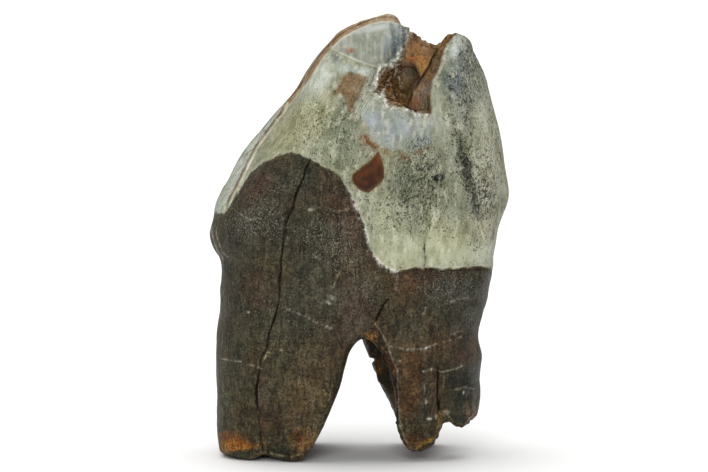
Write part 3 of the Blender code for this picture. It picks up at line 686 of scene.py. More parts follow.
split_faces((away_from_all(WORN_LINES) < 0.5) & (skin.facing > 0.05) & (skin.spots[:, 1] > 49))
split_faces((depth_inside(FACET) > 0) & (skin.facing > 0.05))
on_enamel = layer_of("enamel")
stain_ovals(BESIDE_FACET_STAINS, on_enamel)
facet = patch(FACET, 0.2) * on_enamel
tint(facet * 0.9, "#7b7e6c")
stain_ovals(FACET_STAINS, facet)
streaks = ease(grain(0.42, 61, (1, 14, 14)), 0.0, 0.35)
tint(facet * ease(grain(0.35, 65), -0.1, 0.5) * 0.4, "#94978a")
tint(facet * streaks * (0.25 + 0.55 * ease(skin.spots[:, 0], 4.5, 7.0)), "#4a5459")
tint(facet * ease(grain(0.4, 62, (1, 12, 12)), 0.1, 0.4) * 0.35, "#aeb2a6")
tint(oval((-1.7, 81.9), (0.8, 0.5), -10) * 0.9, "#83532f")

rim = away_from(RIM_SEAM) + 0.05 * grain(0.8, 63)
lower = away_from(LOWER_SEAM) + 0.08 * grain(0.8, 64)
seam_height = np.interp(skin.spots[:, 0], (-26.7, -23.7, -20.9, -17.5, -14.7), (49.4, 56.6, 62.4, 67, 71.2))
outside_lower = ease(seam_height - skin.spots[:, 1], 0.1, -0.1) * ease(-skin.spots[:, 0], 14.4, 15.4)
tan_band = ease(-rim, -0.85, -0.65) * on_enamel * skin.facing
tint(tan_band, "#8a6e4a")
tint(tan_band * ease(grain(0.4, 66, (1.5, 1, 1)), 0.0, 0.5) * 0.6, "#6b4f30")
tint(tan_band * ease(grain(0.5, 67, (1.5, 1, 1)), 0.1, 0.6) * 0.5, "#a98d68")
tint(near(rim, 0.9, 0.16) * on_enamel * skin.facing * 0.6, "#c9c9bc")
tint(ease(-rim, -0.22, -0.06) * on_enamel * skin.facing, "#593819")
tint(outside_lower * on_enamel * skin.facing * 0.85, "#bcc3bb")
tint(ease(-lower, -1.0, -0.6) * (1 - outside_lower) * on_enamel * skin.facing * 0.9, "#c4c2a8")
tint(ease(-lower, -0.34, -0.14) * on_enamel * skin.facing * 0.9, "#6d5340")
tint(line(WHITE_SEAM, 0.12) * on_enamel, "#dad9cc")
tint(line(FACET_EDGE, 0.12, 0.2) * on_enamel * 0.85, "#c9ccc2")
seams = away_from_all(LAYER_SEAMS)
tint(ease(-seams, -0.5, -0.25) * on_enamel * skin.facing * 0.6, "#b9bcae")
tint(ease(-seams, -0.13, -0.03) * on_enamel * skin.facing * 0.7, "#6a6a58")
relief = TAN_BAND_RISE * ease(-rim, -1.1, -0.8) - RIM_GROOVE * near(rim, 0, 0.14)
relief = relief - LOWER_GROOVE * near(lower, 0, 0.25) - LAYER_GROOVE * near(seams, 0, 0.12)
raise_skin(skin.facing * on_enamel * (relief + FACET_EDGE_RISE * line(FACET_EDGE, 0.1, 0.2)))
crust = layer_of("crust")
tint(crust * (0.9 - 0.4 * layer_of("hollow")), "#b9bab0")
tint(crust * ease(grain(0.6, 49, (1, 1, 1.5)), -0.1, 0.1), "#f4f1e8")
tint(crust * ease(grain(0.5, 53), 0.15, 0.3), "#3c3222")
raise_skin(crust * (0.2 * grain(0.5, 50) + 0.1))
keep_layer("gloss", np.maximum(layer_of("gloss") + 0.21 * facet, 0.46 * tan_band))
keep_layer("specks", layer_of("specks") * (1 - ease(-rim, -1.2, -0.8)) * (1 - facet) - 0.5 * facet)
keep_skin()

# The patches
# Flakes of enamel came off and show what is under them: a tan patch of speckled dentine, and a glossy dark
# amber one with a rusty rim and a tail of rust that runs up to the blue skin.
TAN = (
    (-3.3, 76.7), (-2.3, 77.6), (0.2, 77.1), (1.8, 76.5), (1.2, 75.3), (0.4, 73.7), (-0.4, 72),
    (-1.3, 70.4), (-1.7, 69.6), (-2.3, 70.4), (-2.7, 72), (-3.5, 73.4), (-4.9, 72.9), (-5.3, 73.1),
    (-4.5, 74.5), (-3.5, 75.7),
)
TAN_DEPTH = 0.14
AMBER = (
    (4, 61.7), (4.8, 59.7), (5, 58.6), (5.2, 56.6), (4.5, 55.5), (2.8, 54), (1.9, 53.4), (0.2, 54),
    (-1.3, 55.8), (-1.2, 57.1), (0, 58.1), (2.4, 59.9),
)
AMBER_DEPTH = 0.3
AMBER_TAIL = ((3.9, 61.6, 0.2), (3.7, 62.7, 0.15), (2.5, 63.5, 0.3), (1.2, 64.3, 0.5))
RUST = (
    ((1.2, 64.2), (1.0, 0.9), 0, "#693c10", 1.0),
    ((2.0, 63.4), (1.1, 0.5), -20, "#6a4214", 1.0),
    ((3.3, 62.6), (0.7, 0.7), 0, "#684114", 1.0),
    ((5.4, 61.6), (1.0, 0.6), -30, "#7a5c28", 0.9),
    ((9.5, 60.4), (1.0, 0.5), -20, "#6a421a", 0.9),
    ((8.4, 61.4), (0.8, 0.4), -20, "#806838", 0.7),
    ((12.0, 61.6), (0.8, 0.4), 20, "#775030", 0.7),
    ((13.5, 62.3), (0.6, 0.3), 20, "#74482a", 0.7),
    ((-1.4, 70.0), (0.6, 1.0), 0, "#8a6a3c", 0.5),
    ((1.0, 67.0), (1.4, 0.5), -60, "#8b7a4c", 0.5),
)

near_patches = np.minimum(np.abs(depth_inside(TAN)), np.abs(depth_inside(AMBER)))
split_faces(((near_patches < 0.4) | (away_from(AMBER_TAIL) < 0.5)) & (skin.facing > 0.1))
stain_ovals(RUST, layer_of("enamel"))
tan = ease(depth_inside(TAN) + 0.3 * grain(0.8, 74), -0.25, 0.3) * skin.facing
amber = patch(AMBER)
tint(tan, "#97805c")
tint(tan * ease(grain(0.5, 71), 0.0, 0.6) * 0.4, "#94704c")
tint(tan * ease(grain(0.45, 72), 0.1, 0.7) * 0.4, "#6c5e48")
tint(near(depth_inside(TAN), 0, 0.2) * skin.facing * 0.35, "#6f6048")
tint(near(depth_inside(AMBER), 0, 0.35) * skin.facing * 0.4, "#8a7a52")
tint(amber, "#5f3512")
upper_left = ease(skin.spots[:, 1] - 57.0 + 0.5 * (3.0 - skin.spots[:, 0]), -1.0, 3.0)
tint(amber * ease(depth_inside(AMBER), 0.05, 0.5) * (1 - 0.3 * upper_left), "#2e1402")
tint(oval((4.1, 60.6), (0.5, 1.2), 10) * amber * 0.8, "#703b14")
tint(amber * ease(depth_inside(AMBER), 0.2, 0.7) * ease(grain(0.8, 73), 0.1, 0.6) * 0.5, "#5a2e0c")
raise_skin(-TAN_DEPTH * tan - AMBER_DEPTH * amber * ease(depth_inside(AMBER), 0.0, 0.25))
keep_layer("gloss", np.maximum(layer_of("gloss") * (1 - tan), 0.5 * amber))
keep_layer("specks", layer_of("specks") * (1 - amber) * (1 - 0.8 * tan))
keep_layer("enamel", layer_of("enamel") * (1 - amber) * (1 - 0.7 * tan))
keep_skin()

# The chewing surface
# Wear has cut the crests flat. Each shows a brown bowl of dentine inside a pale ring of enamel, and the
# valley and the two hollows between the crests go down dark, filled with old cement.
CHEWING_HEIGHT = 66.0
BEHIND_FRONT_CREST = (-8.5, -6.5)
# Where the enamel ring runs, in radii of its hollow, and its height
ENAMEL_RING = 1.22
RING_RISE = 0.15
# Middle, radii and turn as seen from above, and the colour inside the enamel ring
CHEWING_HOLLOWS = {
    "valley open to the tongue side": ((-9.0, 0.5), (15.0, 2.6), -4, "#4b4436"),
    "end of the valley": ((8.8, 2.6), (2.6, 3.8), 24, "#3c362b"),
    "back hollow": ((8.5, 10.6), (5.4, 2.2), 10, "#3c362b"),
    "worn bowl of the front crest": ((1.0, -4.6), (4.6, 1.5), -6, "#7f6141"),
    "worn bowl of the cheek crest": ((17.8, 2.5), (1.9, 7.5), -6, "#7a5f42"),
    "worn bowl of the back crest": ((-2.5, 7.0), (5.0, 1.7), 12, "#80634a"),
}

above, up_facing = skin.points[:, 2], skin.outward[:, 2]
split_faces((above > CHEWING_HEIGHT) & (up_facing > 0.5) & (skin.points[:, 1] > -7), SKIN_STEP / 2)
from_above = skin.points[:, :2] + 0.25 * np.stack([grain(1.6, 81), grain(1.6, 82)], axis=1)
worn = ease(skin.points[:, 2], CHEWING_HEIGHT, CHEWING_HEIGHT + 4) * ease(skin.outward[:, 2], 0.45, 0.75)
worn *= ease(skin.points[:, 1], *BEHIND_FRONT_CREST) * (1 - layer_of("hollow"))
tint(worn * 0.55, "#a3977a")
for middle, radii, turn, colour in CHEWING_HOLLOWS.values():
    away = radii_away(from_above, middle, radii, turn)
    behind_face = ease(skin.points[:, 1], *BEHIND_FRONT_CREST) * ease(skin.points[:, 2], 55, 62)
    behind_face = behind_face * (1 - layer_of("hollow"))
    tint(near(away, ENAMEL_RING, 0.16) * worn * 0.9, "#c6c8b6")
    tint(ease(-away, -1.1, -0.9) * behind_face, colour)
    raise_skin(RING_RISE * near(away, ENAMEL_RING, 0.13) * worn)
tint(worn * ease(grain(0.9, 83), 0.2, 0.7) * 0.35, "#5e5038")
keep_skin()

# The root cement
# Brown cement coats the roots in thin layers. It is finely lumpy, with faint growth lines round it and
# flutes down it. Handling has polished it in places, and a few pale scratches cross it.
GROWTH_LINE_STEP = 0.9
GROWTH_LINE_RISE = 0.022
FLUTE_STEP = 2.4
FLUTE_RISE = 0.12
SCRATCH_DEPTH = 0.04
# The finish darkens cement with its grain, so its stain is lighter: shares added to red, green and blue
CEMENT_LIGHTENING = (0.45, 0.5, 0.62)
ROOT_STAINS = (
    ((-14.0, 55.0), (8.0, 4.0), 0, "#3f3d32", 0.6),
    ((-20.0, 54.6), (3.4, 2.0), 30, "#54382c", 0.6),
    ((-4.0, 51.0), (2.6, 5.0), 20, "#4f382c", 0.5),
    ((-1.0, 45.0), (2.6, 6.0), 20, "#4d3a2e", 0.6),
    ((-18.0, 46.0), (7.0, 4.0), 0, "#3b3b36", 0.6),
    ((-8.0, 42.0), (5.0, 6.0), 0, "#36352f", 0.6),
    ((-25.0, 38.0), (3.0, 9.0), 0, "#3a382c", 0.6),
    ((-20.0, 34.0), (3.0, 4.0), 0, "#46352a", 0.6),
    ((-13.0, 30.0), (3.0, 6.0), 0, "#3a3832", 0.5),
    ((-6.0, 33.0), (5.0, 6.0), 0, "#4c4839", 0.6),
    ((0.0, 31.5), (3.6, 5.0), 0, "#514439", 0.8),
    ((-2.6, 27.0), (2.4, 4.0), -10, "#4e3f34", 0.7),
    ((-6.0, 20.0), (5.0, 5.0), 0, "#463829", 0.5),
    ((9.4, 35.6), (3.4, 2.6), 0, "#60442c", 0.8),
    ((14.0, 36.4), (2.6, 1.6), 0, "#452c1a", 0.7),
    ((20.0, 34.0), (6.0, 3.6), 0, "#403f39", 0.8),
    ((8.0, 30.0), (3.0, 3.6), 0, "#4a3e29", 0.8),
    ((15.0, 28.0), (4.0, 4.0), 0, "#4c4631", 0.7),
    ((21.0, 28.0), (4.0, 3.0), 0, "#3f4038", 0.6),
    ((12.0, 23.0), (5.0, 2.6), 0, "#5c4730", 0.8),
    ((10.2, 15.0), (2.4, 6.0), 0, "#6a4d2e", 0.9),
    ((13.2, 12.0), (0.8, 6.0), 0, "#2f3129", 0.7),
    ((14.8, 13.0), (0.8, 6.0), 0, "#523c2c", 0.7),
    ((20.4, 14.0), (3.0, 5.0), 0, "#23261e", 0.9),
    ((23.0, 17.0), (0.8, 3.0), 0, "#40463e", 0.5),
    ((-10.6, 12.0), (4.0, 9.0), -8, "#62553c", 0.9),
    ((-19.0, 12.0), (1.6, 7.0), 0, "#55483a", 0.6),
    ((-26.0, 12.0), (1.2, 6.0), 0, "#4f4c38", 0.6),
    ((-24.6, 24.0), (2.6, 9.0), 0, "#37352a", 0.5),
    ((10.0, 26.0), (2.4, 3.0), 0, "#3b3a2a", 0.6),
    ((11.6, 18.6), (2.0, 2.6), 0, "#54391f", 0.7),
    ((9.6, 11.6), (1.6, 3.0), 0, "#5a3e22", 0.7),
    ((20.6, 20.4), (1.4, 1.6), 0, "#563526", 0.6),
    ((22.4, 10.0), (1.6, 1.4), 0, "#6a5a48", 0.6),
)
# Where fine pale grain crowds in the cement: place, radii, turn and how much
GRAINY = (
    ((-20.0, 47.5), (6.0, 3.6), 0, 0.7), ((-6.0, 45.5), (6.0, 4.0), 0, 0.7),
    ((-18.0, 53.5), (5.0, 2.6), 20, 0.4), ((-3.0, 40.0), (4.0, 3.0), 0, 0.6),
    ((2.0, 34.0), (3.6, 4.0), 0, 0.5), ((18.0, 34.5), (6.0, 3.4), 0, 0.6),
    ((-16.0, 28.0), (8.0, 7.0), 0, 0.2), ((-14.0, 10.0), (12.0, 8.0), 0, -0.5),
    ((12.0, 12.0), (6.0, 9.0), 0, -0.5),
)
SCRATCHES = (
    ((-11.3, 49.8), (-9, 50.1), (-7.7, 50.6), (-6.9, 51.3)),
    ((-6.7, 50.8), (-5.4, 50.0), (-4, 49.7), (-1.9, 50.1)),
    ((-14.3, 44.6), (-13.1, 43.4)),
    ((-10.5, 41.8), (-8, 40.4), (-5.7, 39.2)),
    ((-3.7, 38), (-4.3, 36.4), (-5.5, 33.6)),
    ((-1.7, 39.6), (0.3, 39.9), (1.9, 41.2)),
    ((-29.4, 46.4), (-29.2, 44), (-28.3, 41.6), (-27.1, 40.2)),
    ((-28.6, 46.4), (-28.3, 44), (-27.4, 41.8), (-26.2, 40.4)),
    ((-23.6, 49.2), (-21.6, 48.0), (-20.4, 48.2)),
    ((-27.3, 20.2), (-23.3, 19.6), (-19.3, 18.2)),
    ((-14.7, 30.4), (-10, 28.4), (-5.6, 26.2)),
    ((-11.5, 17.8), (-12.0, 15.2)),
    ((6.3, 22.8), (10, 22.1), (13, 22.3), (17, 23.6), (20.6, 24.6)),
    ((18.6, 25.2), (21.0, 25.8)),
    ((16.3, 17.6), (18.6, 18.0), (21.3, 19.0)),
    ((18.9, 14.0), (21.6, 14.6), (23.3, 14.2)),
    ((12.9, 17.6), (14.5, 18.2)),
    ((12.9, 31.6), (13.5, 30.0), (12.6, 28.6)),
    ((18.2, 31.4), (19.6, 32.2), (22, 32.4)),
)
# Small white and tan crumbs stuck to the cement: place, radii, turn, colour and strength
CRUMBS = (
    ((-6.1, 31.4), (0.5, 0.3), -20, "#d5d5c8", 0.9), ((-5.2, 32.4), (0.4, 0.5), 30, "#b9bcb0", 0.8),
    ((-6.9, 13.9), (0.2, 0.22), 0, "#e2c890", 1.0), ((-6.8, 13.2), (0.24, 0.22), 0, "#e0b878", 1.0),
    ((-12.3, 6.6), (0.2, 0.5), 0, "#b8b4a4", 0.9), ((-18.0, 21.5), (0.2, 0.2), 0, "#d9c8a0", 0.9),
    ((-18.7, 20.4), (0.14, 0.6), -20, "#cdbb92", 0.8), ((-15.4, 22.0), (0.2, 0.2), 0, "#b8a888", 0.8),
    ((-20.0, 22.4), (0.24, 0.24), 0, "#a9a06a", 0.8), ((-22.0, 29.6), (0.3, 0.2), 0, "#cfd0c0", 0.8),
    ((13.7, 4.9), (0.5, 0.4), 0, "#d8d6cc", 0.9), ((13.6, 4.8), (0.2, 0.16), 0, "#5a4a38", 1.0),
    ((14.3, 8.2), (0.4, 0.24), 0, "#e4e2d8", 1.0), ((15.5, 8.6), (0.2, 0.4), 0, "#e8e4d8", 1.0),
    ((13.5, 11.7), (0.24, 0.44), 10, "#d0ccbc", 0.9), ((12.9, 17.7), (0.26, 0.2), 0, "#dedccf", 1.0),
    ((14.6, 18.1), (0.4, 0.16), 15, "#d4d2c6", 0.9), ((8.3, 19.8), (0.2, 0.16), 0, "#c4c4b8", 0.8),
    ((13.2, 14.4), (0.12, 1.0), 8, "#9c9a8c", 0.7), ((17.0, 15.6), (0.1, 1.2), 0, "#a5a28e", 0.6),
    ((13.6, 22.4), (0.4, 0.26), 30, "#cfcabb", 0.9), ((7.5, 36.6), (0.4, 0.8), 10, "#cbbfb0", 0.7),
    ((7.4, 34.6), (0.2, 0.9), 10, "#b9a898", 0.6), ((11.2, 9.0), (0.24, 0.4), 0, "#bdb7a4", 0.7),
    ((21.5, 14.0), (0.6, 0.7), 0, "#636a62", 0.5), ((21.1, 13.4), (0.2, 0.3), 0, "#d5d8cf", 0.9),
    ((-14.6, 5.6), (0.3, 0.3), 0, "#9a8f7c", 0.6), ((-24.5, 15.0), (0.1, 0.9), 0, "#7d8076", 0.6),
)

crumb_places = np.array([crumb[0] for crumb in CRUMBS])
away_from_crumbs = np.min([np.linalg.norm(skin.spots - place, axis=1) for place in crumb_places], axis=0)
marked = (away_from_all(SCRATCHES) < 0.3) | (away_from_crumbs < 0.7)
split_faces(marked & (skin.facing > 0.1) & (layer_of("enamel") < 0.5))
on_root = ease(-above_neck(), -0.05, 0.05)
raise_skin(on_root * (0.10 * grain(3.2, 21) + 0.06 * grain(1.3, 22) + 0.05 * grain(1.6, 23, (1, 1, 6))))
growth = np.sin(2 * math.pi * (skin.points[:, 2] + 1.4 * grain(7.0, 24)) / GROWTH_LINE_STEP)
raise_skin(on_root * GROWTH_LINE_RISE * growth * ease(grain(5.0, 25), -0.1, 0.5))
flutes = np.sin(2 * math.pi * (skin.spots[:, 0] + 0.5 * grain(6.0, 26)) / FLUTE_STEP)
fluted = skin.facing * ease(skin.spots[:, 0], 8.0, 10.0) * ease(-skin.spots[:, 1], -24.0, -12.0)
raise_skin(on_root * fluted * FLUTE_RISE * flutes)
tint(on_root * ease(grain(6.0, 27, (1, 1, 2)), 0.0, 0.7) * 0.4, "#4a3a2b")
tint(on_root * ease(grain(5.0, 28, (1, 1, 2)), 0.0, 0.7) * 0.4, "#33372f")
stain_ovals(ROOT_STAINS, on_root)
skin.stain[:, :3] *= 1 + np.outer(on_root, CEMENT_LIGHTENING)
scratched = ease(-away_from_all(SCRATCHES), -0.2, -0.04) * skin.facing * on_root
tint(scratched * ease(grain(0.7, 29), -0.7, 0.1) * 0.8, "#bdb7a5")
raise_skin(-SCRATCH_DEPTH * scratched)
stain_ovals(CRUMBS, on_root)
grainy = 0.5 + sum(oval(*mark[:3]) * mark[3] for mark in GRAINY)
keep_layer("specks", layer_of("specks") * (1 - on_root) + on_root * grainy)
polished = oval((20.5, 15.0), (3.4, 6.0)) + 0.6 * oval((11.0, 12.0), (3.0, 7.0))
keep_layer("gloss", layer_of("gloss") * (1 - on_root) + on_root * (0.2 + 0.15 * polished))

# The edge of the enamel over the roots, on the front: painted shade under its lip, with white crumbs where it
# broke
crown = above_neck()
broken_edge = ease(skin.spots[:, 0], -3.0, 0.0) * ease(-skin.spots[:, 0], -8.6, -7.4) * skin.facing
under_lip = ease(skin.spots[:, 0], 4.0, 8.0) * skin.facing
# Painted shadow: a dark band just under the proud lip of the enamel on the right
tint(near(crown, -0.35, 0.3) * under_lip, "#26180c")
tint(near(crown, -0.6, 0.5) * broken_edge * 0.6, "#4a2c1c")
tint(near(crown, 0.3, 0.3) * skin.facing * 0.4, "#b9bca4")
tint(near(crown, -0.1, 0.12) * under_lip * 0.7, "#7d6a4c")
white_crumbs = near(crown, -0.06, 0.3) * ease(grain(0.5, 13, (1, 1, 1.6)), -0.3, 0.0)
tint(white_crumbs * broken_edge, "#faf8f0")
pale_rim = near(crown, 0, 0.13) * (skin.facing - broken_edge) * ease(grain(0.6, 14), 0.1, 0.5)
tint(pale_rim * 0.7, "#c9c6b2")
keep_skin()

# The inner side of the cheek roots
# Through the fork the view meets the rough inner side of the roots, stained golden brown, with a ragged
# edge and a small notch in it. Its dark coat is partly the cement's colour and partly painted shade of
# the fork, with one painted shadow in it, and a pale painted highlight runs along the ridge at its edge.
INNER_SIDE = (
    (-0.6, 25.4), (0.5, 23.8), (1.4, 22.8), (1.7, 20.6), (2.3, 18.9), (2.8, 17.3), (4, 14), (5.3, 12.6),
    (6.1, 10.6), (7.3, 8.3), (8.2, 8.0), (7.9, 11.6), (7.8, 14.4), (7.7, 17.9), (7.0, 19.3), (6.2, 21.4),
    (5.8, 23), (4.4, 25.5), (2.6, 27.0), (0.4, 26.6),
)
INNER_STAINS_AND_SHADE = (
    ((2.3, 24.2), (1.1, 1.4), 0, "#94682e", 0.9),
    # Painted shadow: the near black mark in the deepest part of the fork
    ((5.4, 22.8), (0.9, 2.6), 20, "#1c1c14", 0.9),
    ((4.2, 18.6), (1.1, 1.3), 0, "#a87830", 0.95),
    ((6.2, 20.0), (0.9, 1.6), 10, "#5c2a1c", 0.8),
    ((4.4, 15.6), (1.1, 1.6), 10, "#32362a", 0.8),
    ((6.6, 13.6), (0.8, 2.8), 15, "#76604a", 0.9),
    ((1.4, 21.0), (0.6, 1.6), 0, "#9a6c32", 0.9),
    ((5.9, 11.4), (0.7, 1.4), 20, "#7c6e58", 0.8),
)
RIDGE = (
    (3.4, 27.3, 0.12), (4.6, 25.5, 0.2), (5.9, 23, 0.22), (6.3, 21.4, 0.2), (7.1, 19.3, 0.16),
    (7.8, 17.9, 0.12), (7.9, 14.4, 0.1), (8, 11.6, 0.1), (8.1, 9.6, 0.08), (8.3, 7.5, 0.06),
    (9, 5.1, 0.04),
)
RIDGE_RISE = 0.12
NOTCH = ((2.5, 19.9), (0.75, 0.45), 0)
NOTCH_DEPTH = 0.9
FORK_TOP = 28

wanted = (depth_inside(INNER_SIDE) > -0.5) | (away_from(RIDGE) < 0.4)
wanted = wanted & (skin.outward @ to_camera > -0.2) & (skin.outward[:, 0] < 0.2)
split_faces(wanted & (skin.points[:, 2] < FORK_TOP))
inner = ease(depth_inside(INNER_SIDE), -0.4, 0.1) * ease(-skin.outward[:, 0], 0.0, 0.3)
inner *= ease(skin.outward @ to_camera, -0.3, 0.0)
# The dark coat: partly the cement's own colour, partly painted shade of the fork
tint(inner * 0.8, "#33291c")
for place, radii, turn, colour, strength in INNER_STAINS_AND_SHADE:
    tint(ease(-radii_away(skin.spots, place, radii, turn), -1.6, -0.4) * inner * strength, colour)
tint(inner * ease(grain(0.6, 91), 0.1, 0.6) * 0.5, "#a07434")
tint(inner * ease(grain(0.5, 92), 0.2, 0.6) * 0.6, "#1c180e")
notch = ease(-radii_away(skin.spots, *NOTCH), -1.4, -0.7) * ease(-skin.outward[:, 0], 0.0, 0.3)
raise_skin(inner * (0.22 * grain(1.6, 93) + 0.1 * grain(0.8, 94)) - NOTCH_DEPTH * notch)
ridge = line(RIDGE, 0.0, 0.12)
# Painted highlight: a pale line along the ridge at the edge of the cheek root, which is also raised a little
tint(ridge * (0.75 + 0.25 * grain(1.4, 96)), "#a59d8c")
raise_skin(RIDGE_RISE * ridge)
keep_skin()

# The broken root ends
# The roots broke off. The cement there is stained orange by iron, the break shows dark green, and its edge
# is sharp, ragged and pale. The tongue side root broke flat enough to stand on.
TONGUE_SIDE_END = (
    (-28.3, 1.6), (-27.7, 0.2), (-25.5, -0.1), (-22.5, 0.1), (-20.5, 0.8), (-19.3, 1.6), (-17.6, 1.4),
    (-16, 1), (-13.8, 0.6), (-12.3, 1), (-10.3, 1.4), (-9.3, 2.8),
)
CHEEK_SIDE_END = (
    (8.1, 7.2), (9.1, 4.6), (10.1, 3), (11.2, 1.6), (12.4, 2.8), (14, 3.6), (15.5, 3.6), (16, 5.1),
    (16.3, 6.9), (16.3, 9.1), (17.7, 9.3), (18.7, 8.1), (19.7, 7.1), (21.4, 7.1), (22, 8.1), (23, 8.7),
    (24.2, 8),
)
END_HEIGHT = 12
ORANGE_RIM = (
    (16.3, 9.2, 0.2), (16.1, 6.0, 0.3), (15.6, 4.4, 0.3), (14.0, 3.8, 0.3), (12.4, 3.0, 0.2),
    (11.3, 1.9, 0.1),
)
END_STAINS = (
    ((-26.0, 3.6), (3.0, 2.0), 0, "#87521f", 0.9),
    ((-25.0, 3.0), (2.6, 1.0), 0, "#c0721f", 0.9),
    ((-22.4, 2.6), (3.0, 0.5), 6, "#b4762c", 0.9),
    ((-27.0, 2.2), (0.9, 1.4), 0, "#b98a34", 0.9),
    ((-20.0, 2.9), (1.2, 0.5), 0, "#8f6a3a", 0.8),
    ((-26.6, 5.0), (1.4, 0.6), 0, "#94602c", 0.8),
    ((-23.4, 1.2), (2.6, 0.7), 6, "#36402c", 0.9),
    ((-15.4, 2.0), (3.4, 1.0), 0, "#2f3629", 0.7),
    ((-11.0, 3.8), (2.8, 2.2), 0, "#9c8054", 1.0),
    ((-12.0, 4.8), (1.6, 1.4), 0, "#6b3f22", 0.7),
    ((-16.6, 7.0), (0.8, 4.0), 0, "#5a4028", 0.5),
    ((-19.0, 5.0), (0.5, 4.0), 0, "#7a5a38", 0.6),
    ((11.0, 3.6), (2.0, 1.8), 0, "#5e3c1f", 0.9),
    ((14.4, 5.2), (1.4, 1.4), 0, "#4e3a22", 0.8),
    ((13.0, 3.6), (1.4, 0.6), 20, "#8a5f26", 0.8),
    ((22.6, 9.0), (1.6, 0.8), 0, "#7d5f4c", 0.8),
    ((20.6, 8.4), (1.6, 1.0), 0, "#34382c", 0.7),
    ((17.4, 9.6), (0.9, 0.4), 0, "#b8b098", 0.7),
)

wanted = (away_from_all((TONGUE_SIDE_END, CHEEK_SIDE_END)) < 1.2) & (skin.outward @ to_camera > -0.1)
split_faces(wanted & (skin.points[:, 1] < 0) & (skin.points[:, 2] < END_HEIGHT))
to_floor = skin.points[:, 2] + 0.9 * grain(2.2, 101)
at_end = ease(5.0 - to_floor, 0.0, 3.0) * (1 - skin.facing)
tint(at_end * 0.7, "#6e4924")
tint(at_end * ease(grain(0.9, 102), 0.1, 0.6) * 0.6, "#a06a2a")
tint(ease(-skin.outward[:, 2], 0.6, 0.85) * ease(END_HEIGHT - skin.points[:, 2], 0, 3) * 0.9, "#5b5036")
stain_ovals(END_STAINS, 1.0)
orange = line(ORANGE_RIM, 0.1, 0.3)
tint(orange * 0.85, "#a8862e")
ends = away_from_all((TONGUE_SIDE_END, CHEEK_SIDE_END))
pale_edge = ease(-ends, -0.3, -0.05) * skin.facing
tint(pale_edge * ease(grain(0.6, 103), -0.4, 0.3) * 0.7, "#a59a78")
broken = ease(-ends, -1.4, -0.2) * ease(END_HEIGHT - skin.points[:, 2], 0, 1)
broken = broken * ease(skin.points[:, 2], 0.3, 0.8)
raise_skin(broken * (0.28 * grain(0.9, 104) + 0.18 * grain(0.45, 105)))
keep_skin()

# The cracks
# Drying opened a long crack down the tongue side root, a short one above the fork and a slit in the front
# cheek root. A hairline runs up into the enamel. Each point gives a place in the front view and half the
# width there.
CRACKS = {
    "long crack": (
        (-9.6, 60.3, 0.06), (-10.7, 58.1, 0.10), (-10.9, 56.8, 0.08), (-12.2, 54, 0.11), (-13, 51.6, 0.10),
        (-13.2, 50.3, 0.12), (-13.9, 48.8, 0.11), (-14.7, 47.2, 0.13), (-14.8, 45.5, 0.11),
        (-15.3, 41.8, 0.09), (-15.5, 40.1, 0.06), (-15.4, 37.9, 0.07), (-15.9, 36, 0.12),
        (-15.8, 33.8, 0.08), (-16, 31.6, 0.08), (-16.8, 28.4, 0.12), (-17.3, 27, 0.07), (-18, 24.9, 0.12),
        (-18.4, 22.4, 0.08), (-18.7, 21.6, 0.03), (-19.4, 20.4, 0.05), (-19.9, 17.8, 0.05),
        (-20.1, 15.9, 0.12), (-20.5, 14.4, 0.24), (-20.5, 12.9, 0.22), (-20.3, 11.6, 0.10),
        (-20.1, 9.6, 0.02), (-19.8, 5.5, 0.03), (-19.1, 1.6, 0.06),
    ),
    "crack above the fork": ((5.9, 32.2, 0.04), (4.9, 30.9, 0.11), (4, 29.1, 0.11), (3.4, 27.9, 0.10)),
    "slit in the cheek root": (
        (15.9, 18.8, 0.05), (16, 17.7, 0.11), (15.9, 13.6, 0.13), (16.1, 9.8, 0.15),
    ),
    "hairline in the enamel": (
        (13.3, 44.6, 0.02), (13.2, 42.4, 0.05), (13.4, 40.4, 0.03), (13.2, 38.6, 0.04),
    ),
}
CRACK_DEPTH = 0.9
SHOULDER_DEPTH = 0.12
CRACK_SHOULDER = 0.16
CRACK_REACH = 0.45
CRACK_DEPTH_BEHIND = 0.6
# Cracks on the back: places right of the middle and above the floor, with half widths
CRACKS_BEHIND = {
    "crack in the back cheek root": (
        (17.5, 33.0, 0.04), (17.0, 28.0, 0.1), (17.6, 22.0, 0.08), (17.2, 16.0, 0.1),
    ),
    "crack in the tongue side root": (
        (-17.0, 43.0, 0.04), (-17.6, 36.0, 0.1), (-16.8, 30.0, 0.07), (-17.5, 21.0, 0.1),
        (-17.0, 12.0, 0.04),
    ),
    "hairline behind": ((-3.0, 60.0, 0.02), (-2.4, 54.0, 0.05), (-2.9, 48.0, 0.04), (-2.3, 42.0, 0.03)),
}


def away_from_cracks_behind():
    """Distance of the skin from the nearest crack on the back."""
    return away_from_all(CRACKS_BEHIND.values(), skin.points[:, (0, 2)])


split_faces((away_from_all(CRACKS.values()) < CRACK_REACH) & (skin.facing > 0.1))
split_faces((away_from_cracks_behind() < 2 * CRACK_REACH) & (skin.outward[:, 1] > 0.3), SKIN_STEP / 2)
split_faces((away_from_cracks_behind() < CRACK_REACH) & (skin.outward[:, 1] > 0.3))
beyond = away_from_all(CRACKS.values()) + 0.04 * grain(0.9, 112) - 0.03
cracked = ease(-beyond, -0.05, 0.05) * skin.facing
shoulder = SHOULDER_DEPTH * near(np.maximum(beyond, 0), 0, CRACK_SHOULDER) * skin.facing
raise_skin(-CRACK_DEPTH * cracked - shoulder)
tint(near(beyond, 0.2, 0.1) * skin.facing * ease(grain(0.7, 113), 0.0, 0.5) * 0.35, "#8f8672")
